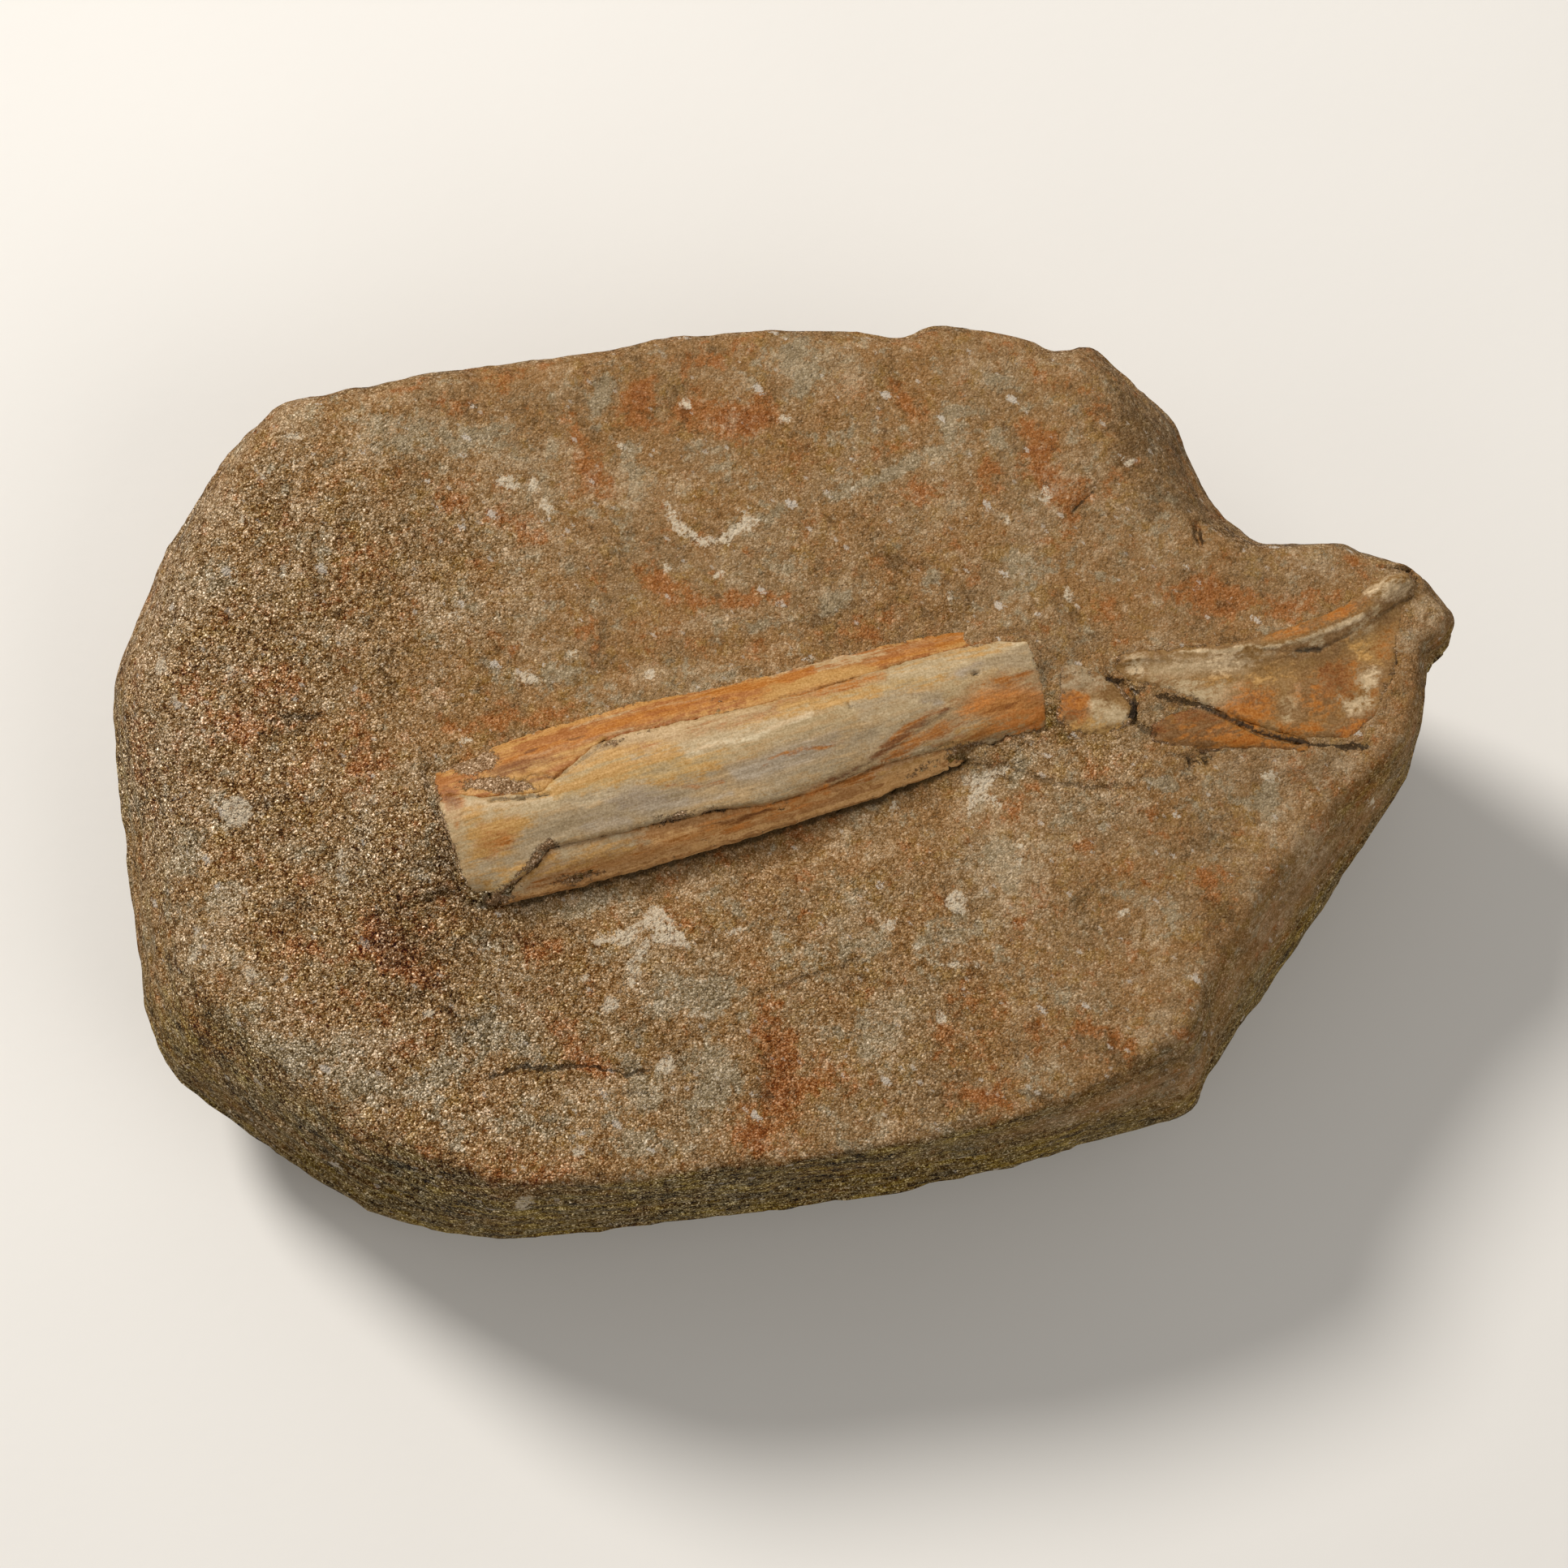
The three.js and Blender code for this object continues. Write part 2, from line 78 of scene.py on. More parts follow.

# ------------------------------------------------------------------ marks
# Places are pixels of the photograph. Each is put on the solid's surface along the line of sight.

# Patches of the stone: x, y, half length, half width, turn in degrees, strength.
RUST_PATCHES = [
    (560, 500, 32, 16, -5, 0.8), (555, 615, 22, 12, 0, 0.7), (620, 645, 50, 20, -15, 0.9),
    (785, 505, 26, 34, 20, 1.0), (805, 468, 34, 12, 25, 0.7), (850, 500, 22, 22, 0, 0.7),
    (935, 512, 58, 20, 3, 1.3), (885, 440, 34, 12, 30, 0.6), (722, 560, 18, 46, 20, 0.8),
    (735, 600, 30, 18, 30, 0.6), (800, 712, 44, 14, -35, 0.9), (855, 735, 30, 14, -20, 0.8),
    (930, 738, 36, 12, 10, 0.8), (1115, 500, 12, 36, 35, 0.9), (1102, 553, 22, 14, 0, 0.9),
    (1140, 608, 38, 24, 10, 1.0), (1215, 590, 26, 20, 0, 0.7), (1285, 575, 16, 52, 18, 1.0),
    (1320, 610, 18, 22, 0, 0.8), (1185, 470, 14, 30, 20, 0.5), (1062, 780, 30, 22, 0, 1.0),
    (1090, 815, 22, 16, 0, 0.8), (1480, 735, 62, 30, 5, 0.7), (1520, 728, 28, 20, 0, 0.6),
    (440, 690, 34, 26, 0, 0.6), (340, 840, 44, 26, -30, 0.8), (240, 850, 44, 22, 0, 0.7),
    (300, 890, 44, 16, 0, 0.8), (450, 935, 28, 46, 20, 0.5), (392, 1172, 38, 12, -25, 0.9),
    (465, 1150, 16, 44, 30, 1.1), (505, 1195, 44, 18, -20, 1.1), (650, 1160, 28, 26, 0, 0.6),
    (700, 1275, 18, 36, 20, 1.0), (735, 1318, 34, 12, -35, 1.1), (270, 1290, 62, 24, -10, 1.0),
    (230, 1255, 30, 16, -40, 0.8), (962, 1290, 20, 46, 10, 1.2), (945, 1365, 24, 44, -15, 1.2),
    (990, 1340, 34, 44, 0, 0.6), (928, 1405, 24, 20, 0, 0.8), (1282, 1270, 20, 20, 0, 0.9),
    (1262, 1150, 12, 24, 0, 0.5), (1470, 1272, 44, 8, 0, 0.7), (1215, 1345, 30, 12, 15, 0.7),
    (680, 1440, 60, 26, 10, 0.5), (1030, 1440, 60, 20, 10, 0.9), (1480, 1080, 34, 30, 0, 0.6),
    (1230, 1360, 50, 14, -20, 0.8), (1380, 1290, 60, 14, -25, 0.5), (860, 1480, 70, 14, 5, 0.4),
    (1380, 1060, 40, 24, 0, 0.35), (1640, 960, 34, 30, 0, 0.6), (1690, 975, 22, 30, 0, 0.6),
    (280, 600, 24, 44, -25, 0.4), (600, 893, 66, 12, 8, 0.7), (345, 1060, 40, 30, 0, 0.3),
    (520, 1265, 36, 20, 0, 0.4), (1180, 1230, 60, 40, 0, 0.3), (905, 1060, 70, 20, 12, 0.35),
    (1390, 690, 60, 30, 0, 0.3), (1600, 745, 50, 14, 20, 0.35), (1200, 1000, 60, 20, 0, 0.15),
    (1660, 690, 40, 14, 0, 0.5), (500, 475, 60, 10, 8, 0.35), (640, 455, 90, 12, 8, 0.3),
    (185, 940, 40, 110, 0, 0.35),
]
GREY_PATCHES = [
    (600, 540, 46, 22, 0, 0.9), (545, 580, 26, 14, 0, 0.6), (742, 485, 16, 40, -12, 1.0),
    (870, 560, 46, 20, 0, 0.8), (985, 480, 20, 54, 5, 1.0), (1040, 455, 40, 20, 0, 0.5),
    (1110, 575, 52, 12, 25, 1.0), (1175, 520, 16, 34, -20, 0.9), (1230, 545, 12, 34, 15, 1.0),
    (1195, 500, 18, 16, 0, 0.6), (720, 745, 66, 12, 5, 0.6), (790, 600, 16, 60, 10, 0.5),
    (680, 830, 34, 12, 0, 0.7), (1040, 735, 30, 12, 10, 0.7), (960, 765, 60, 8, 12, 0.6),
    (270, 705, 26, 20, 0, 0.6), (232, 1050, 38, 32, 0, 0.9), (290, 1100, 36, 20, 0, 0.5),
    (400, 1060, 40, 24, 0, 0.5), (820, 1215, 70, 30, 0, 0.7), (1200, 1140, 36, 24, 0, 0.7),
    (720, 1115, 40, 14, 10, 0.7), (350, 1290, 60, 26, -10, 0.8), (440, 1335, 60, 30, -5, 0.6),
    (1245, 1065, 16, 34, 0, 0.8), (1372, 1095, 24, 20, 0, 0.6), (800, 1345, 50, 40, 0, 0.6),
    (880, 1330, 30, 60, 0, 0.7), (600, 1275, 46, 30, 0, 0.6), (1080, 1290, 40, 40, 0, 0.4),
    (1180, 960, 30, 20, 0, 0.5), (560, 1310, 40, 20, 0, 0.5), (470, 540, 40, 30, 0, 0.3),
    (400, 500, 40, 20, 0, 0.3), (900, 1080, 20, 30, 0, 0.3), (1560, 985, 70, 26, 0, 0.6),
    (1480, 960, 40, 16, 0, 0.5), (1300, 700, 60, 24, 0, 0.35), (1330, 545, 20, 30, 0, 0.4),
    (660, 1375, 60, 26, 0, 0.5), (780, 1410, 60, 22, 0, 0.5), (1140, 1190, 30, 16, 0, 0.4),
    (1070, 1160, 30, 20, 0, 0.4), (1300, 900, 20, 20, 0, 0.2), (160, 1000, 20, 60, 0, 0.3),
]
# Broad lighter and darker areas of the stone, in the same form: partly its own tone, partly painted light
# on slopes and facets that face the lamp and painted shade in hollows, below raised parts and on facets that
# face away.
LIT_AND_PALE_PATCHES = [
    (235, 690, 50, 90, -20, 0.5), (210, 930, 44, 90, 0, 0.35), (250, 1150, 60, 80, 0, 0.4),
    (440, 1030, 44, 50, 0, 0.3), (350, 520, 50, 30, 0, 0.4), (1250, 1060, 60, 40, 0, 0.4),
    (1020, 725, 26, 12, 10, 0.7), (900, 760, 90, 8, 8, 0.5), (1120, 580, 60, 10, 25, 0.5),
    (1235, 560, 10, 44, 15, 0.5), (860, 590, 50, 24, 0, 0.25), (1010, 450, 60, 24, 0, 0.35),
    (1060, 1130, 70, 40, 0, 0.3), (1250, 1330, 80, 16, 12, 0.5), (830, 1240, 60, 26, 0, 0.35),
    (540, 970, 30, 30, 0, 0.25), (800, 832, 16, 12, 0, 0.8), (650, 1340, 50, 30, 0, 0.3),
    (1400, 1190, 40, 60, 0, 0.3), (460, 1290, 50, 24, 0, 0.25), (1600, 1000, 60, 40, 0, 0.25),
    (180, 950, 40, 120, 0, 0.2), (390, 590, 70, 50, 0, 0.4), (1560, 1135, 60, 30, -50, 0.5),
    (270, 890, 60, 50, 0, 0.25), (400, 1240, 80, 40, 0, 0.25),
]
SHADED_AND_DARK_PATCHES = [
    (470, 780, 18, 74, 6, 0.6), (480, 640, 16, 60, 0, 0.4), (370, 882, 40, 8, 0, 0.9),
    (742, 778, 10, 26, 0, 0.7), (900, 792, 60, 7, 6, 0.6), (620, 880, 90, 10, 8, 0.5),
    (500, 1165, 44, 60, 20, 0.6), (640, 1150, 80, 18, 14, 0.7), (945, 1330, 18, 60, -8, 0.6),
    (1330, 618, 12, 16, 0, 0.9), (680, 1316, 90, 8, 0, 0.8), (1278, 1275, 12, 30, 0, 0.4),
    (545, 945, 14, 14, 0, 0.9), (330, 850, 50, 14, 0, 0.4), (700, 700, 30, 60, 0, 0.2),
    (950, 900, 30, 20, 0, 0.1), (1480, 905, 60, 14, 0, 0.3), (560, 1110, 30, 16, 0, 0.5),
    (770, 690, 26, 20, 0, 0.4), (1140, 690, 40, 12, 10, 0.3), (960, 690, 50, 12, 5, 0.35),
    (320, 1330, 90, 20, -30, 0.5), (1180, 1390, 60, 10, 12, 0.4), (600, 1480, 60, 14, 0, 0.3),
    (1350, 935, 60, 20, 0, 0.35), (1230, 925, 50, 14, 10, 0.3), (548, 1070, 20, 50, 0, 0.6),
    (1270, 1345, 60, 8, -28, 0.7), (1390, 1305, 30, 10, -30, 0.7), (1420, 1345, 20, 20, 0, 0.4),
    (900, 1432, 90, 9, -8, 0.8), (1402, 505, 40, 60, 0, 0.9), (1430, 590, 50, 50, 0, 0.9),
    (1500, 640, 40, 20, -30, 0.6), (1460, 700, 60, 20, 0, 0.3), (1700, 950, 40, 30, 0, 0.2),
    (935, 512, 50, 18, 0, 0.35),
]

# Where the steep sides get none of the painted shade and stay as pale as the face, in the same form.
PALE_SIDES = [
    (1400, 1345, 90, 50, 20, 0.9), (1480, 1320, 60, 60, 30, 0.8), (1270, 1390, 90, 30, 12, 0.6),
    (1560, 1150, 70, 60, -50, 1.0), (1620, 1070, 60, 60, -50, 1.0), (1690, 1000, 50, 60, 0, 0.9),
    (1740, 900, 30, 60, 0, 0.8), (1770, 790, 40, 60, 0, 0.9), (1510, 1230, 60, 50, -50, 0.6),
    (1400, 480, 60, 60, 0, 0.4), (300, 560, 60, 60, 0, 0.8), (170, 850, 40, 160, 0, 0.7),
    (180, 1150, 40, 120, 0, 0.5), (300, 1370, 90, 50, -35, 0.5), (640, 1470, 80, 30, 10, 0.5),
    (1748, 700, 30, 26, 0, 0.8),
]

# White marks flush with the stone, as outlines.
WHITE_OUTLINES = [
    [(728, 1157), (736, 1152), (754, 1150), (769, 1145), (783, 1139), (792, 1133), (798, 1123), (806, 1117),
     (816, 1118), (825, 1127), (828, 1138), (832, 1145), (842, 1152), (852, 1162), (851, 1169), (839, 1166),
     (823, 1162), (812, 1161), (802, 1164), (795, 1171), (791, 1182), (789, 1194), (784, 1213), (778, 1219),
     (774, 1209), (772, 1192), (780, 1178), (786, 1167), (799, 1159), (807, 1151), (802, 1143), (793, 1143),
     (787, 1150), (776, 1163), (763, 1166), (754, 1162), (736, 1162)],
    [(740, 1237), (750, 1228), (760, 1231), (759, 1244), (748, 1249), (741, 1244)],
    [(1246, 943), (1240, 949), (1230, 954), (1225, 962), (1219, 971), (1216, 977), (1222, 982), (1230, 986),
     (1237, 993), (1230, 994), (1218, 989), (1210, 986), (1205, 989), (1201, 997), (1195, 1005),
     (1189, 1004), (1192, 994), (1194, 984), (1195, 973), (1200, 968), (1198, 965), (1185, 965),
     (1184, 958), (1200, 953), (1207, 957), (1211, 950), (1222, 948), (1234, 944)],
    [(818, 620), (828, 627), (838, 641), (849, 652), (863, 660), (873, 664), (884, 663), (890, 659),
     (897, 654), (910, 644), (923, 636), (934, 640), (926, 653), (913, 655), (901, 663), (898, 675),
     (890, 672), (884, 671), (871, 674), (861, 671), (857, 666), (843, 662), (831, 652), (822, 637)],
]
# Thin white lines: half width in millimetres, then the line.
WHITE_LINES = [
    (0.16, [(836, 845), (850, 850)]),
    (0.22, [(1254, 1042), (1257, 1052), (1256, 1066)]),
    (0.18, [(790, 1243), (802, 1239), (815, 1236)]),
    (0.14, [(819, 1230), (835, 1225)]),
    (0.20, [(841, 1249), (858, 1251), (875, 1250)]),
    (0.14, [(760, 1224), (771, 1214)]),
    (0.12, [(1160, 1190), (1185, 1187), (1210, 1188)]),
]
# White flecks: x, y, half length, half width, turn in degrees.
WHITE_SPOTS = [
    (291, 999, 18, 19, 0), (265, 988, 6, 5, 0), (625, 595, 13, 8, -25), (656, 596, 7, 7, 0),
    (674, 625, 6, 10, 20), (650, 834, 13, 6, -12), (365, 537, 10, 4, 0), (325, 585, 6, 3, 30),
    (197, 821, 7, 12, 0), (283, 829, 6, 6, 0), (277, 860, 5, 4, 0), (1178, 1112, 14, 12, -30),
    (1095, 1140, 10, 6, 50), (905, 1148, 9, 4, 15), (1160, 1253, 7, 6, 0), (308, 1201, 6, 9, 20),
    (645, 1482, 12, 8, 40), (800, 832, 9, 5, 0), (1288, 610, 5, 8, 0), (420, 1075, 5, 8, 0),
    (820, 1312, 11, 9, 0), (712, 1418, 6, 7, 0), (968, 516, 7, 7, 0), (845, 497, 7, 6, 0),
    (821, 699, 5, 6, 0), (885, 708, 7, 4, 15), (1170, 735, 4, 8, 0), (1100, 995, 6, 6, 0),
    (560, 760, 6, 4, 0), (460, 985, 5, 5, 0), (1315, 733, 5, 8, 0), (768, 550, 8, 3, -30),
    (420, 1052, 5, 4, 0), (240, 1178, 9, 6, 40), (212, 860, 4, 4, 0), (1565, 957, 9, 5, 0),
    (915, 628, 6, 3, 0), (1690, 990, 5, 4, 0), (1020, 940, 4, 4, 0), (598, 1172, 5, 4, 0),
    (720, 1205, 5, 5, 0), (1130, 1165, 6, 4, 30), (575, 915, 5, 4, 0), (350, 700, 6, 4, 30),
    (382, 985, 5, 3, 0), (530, 1250, 6, 4, 0), (1385, 1125, 7, 5, 0), (1240, 640, 5, 4, 0),
    (1390, 568, 5, 5, 0), (300, 640, 5, 4, 0), (705, 805, 5, 4, 0), (1052, 605, 5, 4, 0),
]

# Cracks and steps in the stone: half width and depth in millimetres, then the line.
STONE_CRACKS = [
    (0.34, 0.9, [(1364, 835), (1374, 839), (1386, 843)]),
    (0.42, 1.2, [(1386, 843), (1392, 852), (1397, 863), (1395, 876), (1394, 886)]),
    (0.16, 0.5, [(1386, 843), (1398, 846), (1412, 849)]),
    (0.20, 0.6, [(1396, 888), (1410, 898), (1424, 906)]),
    (0.15, 0.4, [(1150, 955), (1180, 947), (1208, 942), (1247, 944), (1274, 956)]),
    (0.17, 0.4, [(1274, 956), (1307, 966), (1345, 969), (1381, 968)]),
    (0.12, 0.3, [(1381, 968), (1403, 962), (1416, 950)]),
    (0.14, 0.4, [(1276, 900), (1290, 916), (1304, 922), (1330, 918)]),
    (0.15, 0.4, [(1436, 930), (1470, 931), (1500, 926), (1540, 924)]),
    (0.26, 0.6, [(1465, 934), (1467, 944)]),
    (0.28, 0.6, [(1482, 928), (1486, 940)]),
    (0.12, 0.3, [(1458, 950), (1466, 966), (1474, 958)]),
    (0.25, 0.6, [(603, 1328), (640, 1314), (662, 1318), (720, 1311), (750, 1317), (775, 1323), (800, 1316)]),
    (0.16, 0.4, [(768, 1347), (797, 1347)]),
    (0.16, 0.35, [(928, 1225), (962, 1214), (995, 1203), (1030, 1192), (1060, 1180)]),
    (0.26, 0.8, [(1324, 630), (1334, 616), (1347, 604)]),
    (0.34, 0.9, [(1478, 645), (1476, 656), (1480, 668)]),
    (0.20, 0.5, [(348, 880), (370, 884), (396, 882)]),
    (0.14, 0.4, [(320, 905), (352, 900), (380, 905)]),
    (0.12, 0.3, [(735, 815), (740, 795), (742, 775)]),
    (0.12, 0.3, [(540, 1240), (580, 1262), (610, 1250)]),
]

# Where the stone's grain stands out most: x, y, reach, strength.
COARSE_GRAIN = [
    (260, 900, 210, 1.0), (380, 1230, 220, 0.8), (300, 620, 170, 0.6), (540, 700, 140, 0.4),
    (600, 1420, 180, 0.5), (500, 1050, 110, 0.5), (1000, 1250, 300, 0.38), (860, 1480, 110, 0.4),
    (700, 1180, 140, 0.25), (1050, 640, 200, 0.1), (1350, 938, 70, 0.25), (1250, 925, 50, 0.25),
    (545, 1050, 60, 0.5), (170, 950, 90, 0.5),
]

# Colours of the bone by layer. Each area is a strength, how soft its edge is in millimetres, and an outline.
BONE_AREAS = {
    "ochre": [
        (1.0, 0.4, [(593, 957), (640, 955), (690, 960), (745, 926), (800, 916), (870, 926), (900, 925),
            (885, 948), (850, 962), (770, 968), (700, 978), (680, 985), (640, 976)]),
        (1.3, 0.2, [(828, 938), (868, 936), (880, 950), (850, 958), (832, 948)]),
        (0.8, 0.5, [(960, 868), (1040, 848), (1093, 830), (1160, 812), (1240, 790), (1225, 803),
            (1173, 830), (1130, 848), (1060, 862), (960, 880)]),
        (0.9, 0.3, [(1133, 920), (1160, 900), (1200, 890), (1232, 893), (1225, 905), (1193, 915)]),
        (0.7, 0.3, [(1060, 960), (1110, 945), (1150, 930), (1150, 940), (1100, 955), (1060, 968)]),
        (0.4, 0.8, [(1440, 835), (1520, 825), (1590, 815), (1600, 840), (1520, 850)]),
        (0.7, 0.7, [(1662, 792), (1690, 776), (1705, 790), (1698, 815), (1674, 815)]),
        (0.9, 0.8, [(578, 998), (640, 1000), (656, 1016), (622, 1056), (584, 1062)]),
        (0.8, 0.4, [(1317, 897), (1345, 885), (1395, 892), (1400, 912), (1340, 914)]),
        (0.7, 0.5, [(585, 1080), (640, 1060), (700, 1050), (780, 1035), (780, 1050), (690, 1075),
            (600, 1110)]),
        (0.8, 0.4, [(940, 838), (1023, 825), (1073, 818), (1087, 826), (1040, 838), (940, 866)]),
        (0.9, 0.3, [(640, 945), (700, 925), (745, 908), (700, 935), (660, 952), (600, 955)]),
    ],
    "grey": [
        (1.1, 0.5, [(605, 1078), (633, 1045), (655, 1012), (690, 990), (733, 978), (783, 968), (853, 972),
            (870, 985), (817, 1005), (777, 1020), (717, 1028), (687, 1037), (673, 1055), (640, 1062)]),
        (1.0, 0.7, [(800, 978), (850, 958), (900, 945), (960, 920), (1010, 905), (1060, 895), (1100, 885),
            (1110, 900), (1070, 925), (1010, 950), (950, 978), (880, 992), (820, 1000)]),
        (0.9, 0.4, [(1053, 866), (1120, 846), (1165, 862), (1165, 876), (1120, 888), (1060, 905)]),
        (1.0, 0.3, [(1165, 835), (1190, 818), (1230, 806), (1225, 818), (1195, 835)]),
        (0.7, 0.4, [(1222, 806), (1268, 792), (1276, 826), (1230, 836)]),
        (0.8, 0.6, [(1285, 815), (1330, 820), (1362, 835), (1366, 848), (1320, 852), (1290, 848)]),
        (0.7, 0.3, [(1560, 800), (1600, 797), (1630, 792), (1640, 800), (1600, 808), (1560, 806)]),
        (0.6, 0.3, [(1596, 843), (1612, 838), (1616, 852), (1600, 856)]),
        (0.6, 0.4, [(577, 1060), (610, 1052), (650, 1064), (610, 1090), (580, 1105)]),
        (0.9, 0.4, [(690, 1047), (740, 1035), (785, 1026), (800, 1038), (750, 1056), (700, 1070),
            (660, 1082)]),
    ],
    "violet": [
        (1.0, 0.4, [(745, 985), (780, 975), (840, 978), (850, 990), (800, 1003), (760, 1000)]),
        (0.9, 0.5, [(700, 1012), (760, 1000), (775, 1012), (720, 1026)]),
        (0.8, 0.6, [(900, 945), (960, 925), (1000, 915), (1030, 905), (1020, 925), (960, 950), (910, 960)]),
        (0.8, 0.3, [(1127, 857), (1150, 856), (1162, 866), (1140, 870)]),
        (0.8, 0.3, [(1175, 826), (1205, 814), (1212, 820), (1185, 834)]),
    ],
    "cream": [
        (1.0, 0.3, [(570, 983), (600, 987), (673, 981), (690, 992), (655, 1003), (600, 1010), (578, 1000)]),
        (0.9, 0.4, [(790, 920), (870, 905), (930, 892), (1000, 872), (1000, 882), (930, 906), (850, 928)]),
        (0.9, 0.4, [(1095, 832), (1160, 811), (1240, 790), (1266, 781), (1267, 790), (1227, 804),
            (1150, 834)]),
        (0.9, 0.4, [(1060, 885), (1110, 862), (1130, 860), (1160, 872), (1120, 884), (1090, 900)]),
        (0.8, 0.3, [(690, 1045), (713, 1037), (767, 1027), (780, 1032), (777, 1042), (733, 1056),
            (695, 1062)]),
        (0.35, 0.8, [(1408, 815), (1470, 812), (1524, 812), (1540, 830), (1455, 840), (1418, 832)]),
        # painted light: cream that brightens the lower splinter's band, which its shape leaves in shade
        (1.0, 0.4, [(1050, 960), (1100, 936), (1150, 912), (1195, 896), (1198, 904), (1150, 924),
            (1100, 948), (1056, 968)]),
        # painted light below the flared end's crest, where its shape leaves it in shade
        (0.9, 0.6, [(1422, 838), (1470, 842), (1530, 846), (1524, 872), (1484, 872), (1440, 862)]),
        (0.7, 0.4, [(1600, 796), (1640, 782), (1680, 762), (1700, 750), (1690, 772), (1650, 792)]),
        (0.6, 0.4, [(745, 1030), (800, 1020), (800, 1030), (750, 1044)]),
        (0.7, 0.3, [(1150, 787), (1200, 776), (1204, 781), (1150, 795), (1080, 812), (1000, 826),
            (1000, 820)]),
        (0.8, 0.5, [(1581, 866), (1600, 862), (1606, 882), (1584, 888)]),
        (1.1, 0.4, [(1342, 867), (1362, 866), (1386, 874), (1386, 888), (1345, 890)]),
        (0.7, 0.3, [(617, 1100), (650, 1082), (687, 1070), (715, 1074), (680, 1090), (633, 1110)]),
        (0.8, 0.3, [(945, 826), (997, 812), (1053, 808), (1000, 820), (950, 834)]),
    ],
    "white": [
        (1.3, 0.2, [(1245, 786), (1264, 779), (1268, 792), (1250, 797)]),
        (1.0, 0.7, [(1674, 838), (1692, 830), (1692, 866), (1662, 873), (1657, 864), (1678, 858)]),
        # painted light below the flared end's crest, where its shape leaves it in shade
        (0.6, 0.6, [(1408, 814), (1470, 810), (1540, 804), (1566, 806), (1535, 824), (1460, 832),
            (1415, 830)]),
        (0.7, 0.6, [(1684, 727), (1709, 708), (1725, 705), (1744, 714), (1741, 728), (1716, 738),
            (1694, 736)]),
        (0.9, 0.4, [(1388, 812), (1408, 808), (1407, 836), (1392, 834)]),
        (0.7, 0.3, [(700, 990), (740, 976), (760, 978), (730, 992)]),
    ],
    "orange": [
        (0.6, 0.5, [(612, 944), (650, 918), (690, 900), (740, 888), (790, 874), (830, 862), (880, 850),
            (960, 834), (1000, 822), (1000, 832), (940, 856), (860, 874), (810, 886), (760, 900),
            (720, 920), (690, 936), (640, 944)]),
        (1.0, 0.4, [(690, 912), (760, 884), (850, 862), (858, 868), (780, 890), (715, 915)]),
        (1.2, 0.2, [(955, 842), (970, 830), (1000, 820), (1005, 828), (975, 842)]),
        (0.7, 0.3, [(1063, 815), (1107, 801), (1153, 781), (1200, 772), (1203, 787), (1140, 803),
            (1073, 824)]),
        (0.7, 0.4, [(940, 868), (1040, 842), (1087, 828), (1087, 834), (1040, 850), (950, 876)]),
        (0.7, 0.5, [(745, 925), (800, 905), (880, 886), (960, 870), (960, 880), (880, 898), (800, 920)]),
        (0.8, 0.7, [(594, 1016), (636, 1012), (630, 1034), (608, 1052), (590, 1050)]),
        (0.8, 0.9, [(1186, 868), (1213, 844), (1232, 834), (1262, 832), (1286, 846), (1292, 876),
            (1200, 878)]),
        (0.4, 0.6, [(1070, 925), (1120, 895), (1170, 880), (1200, 885), (1190, 900), (1130, 920),
            (1085, 940)]),
        (0.9, 0.2, [(1150, 918), (1190, 905), (1230, 895), (1236, 902), (1205, 914)]),
        (0.6, 0.4, [(780, 1052), (833, 1036), (900, 1012), (967, 990), (1010, 972), (1075, 950),
            (1118, 930), (1118, 940), (1060, 968), (1000, 986), (940, 1006), (860, 1034), (790, 1060)]),
        (0.8, 0.8, [(1499, 868), (1515, 852), (1545, 846), (1568, 855), (1566, 880), (1545, 892),
            (1510, 884)]),
        (0.4, 0.9, [(1696, 790), (1716, 770), (1714, 800), (1702, 850), (1690, 860), (1696, 820)]),
        (0.6, 0.9, [(1600, 842), (1650, 815), (1672, 815), (1668, 845), (1640, 880), (1600, 880)]),
        (1.0, 0.5, [(1640, 900), (1660, 890), (1694, 876), (1692, 897), (1650, 915)]),
        (0.6, 0.5, [(1546, 785), (1612, 764), (1650, 748), (1684, 732), (1690, 742), (1650, 764),
            (1600, 780)]),
        (0.5, 0.6, [(1570, 892), (1620, 890), (1640, 900), (1620, 910), (1580, 904)]),
        (0.5, 0.6, [(1440, 912), (1455, 890), (1505, 888), (1549, 906), (1606, 924), (1560, 926),
            (1518, 921)]),
        (1.0, 0.4, [(1306, 858), (1322, 850), (1340, 858), (1342, 885), (1322, 893), (1308, 882)]),
        (0.5, 0.4, [(667, 1072), (733, 1062), (787, 1050), (787, 1060), (700, 1086), (650, 1100)]),
        (0.7, 0.3, [(532, 948), (546, 957), (563, 975), (574, 990), (564, 1020), (552, 1000)]),
    ],
    # painted light: the orange made brighter where the shape of the shaft's right end and of the lower
    # splinter leaves it in shade
    "amber": [
        (0.9, 0.9, [(1188, 880), (1210, 862), (1250, 856), (1288, 864), (1298, 884), (1276, 900),
            (1235, 902), (1205, 894)]),
        (0.7, 0.5, [(820, 1040), (880, 1018), (960, 992), (1020, 970), (1020, 980), (950, 1006),
            (880, 1030)]),
    ],
    "rust": [
        (1.0, 0.4, [(1403, 885), (1437, 890), (1440, 906), (1408, 908)]),
        (0.9, 0.4, [(1437, 864), (1493, 876), (1505, 887), (1455, 890)]),
        (0.7, 0.5, [(1626, 822), (1658, 816), (1664, 840), (1662, 856), (1632, 854)]),
        (0.4, 0.3, [(667, 1084), (733, 1074), (787, 1060), (850, 1046), (850, 1052), (787, 1070),
            (700, 1096)]),
        (0.7, 0.3, [(600, 950), (640, 938), (680, 930), (700, 926), (690, 934), (650, 948), (604, 958)]),
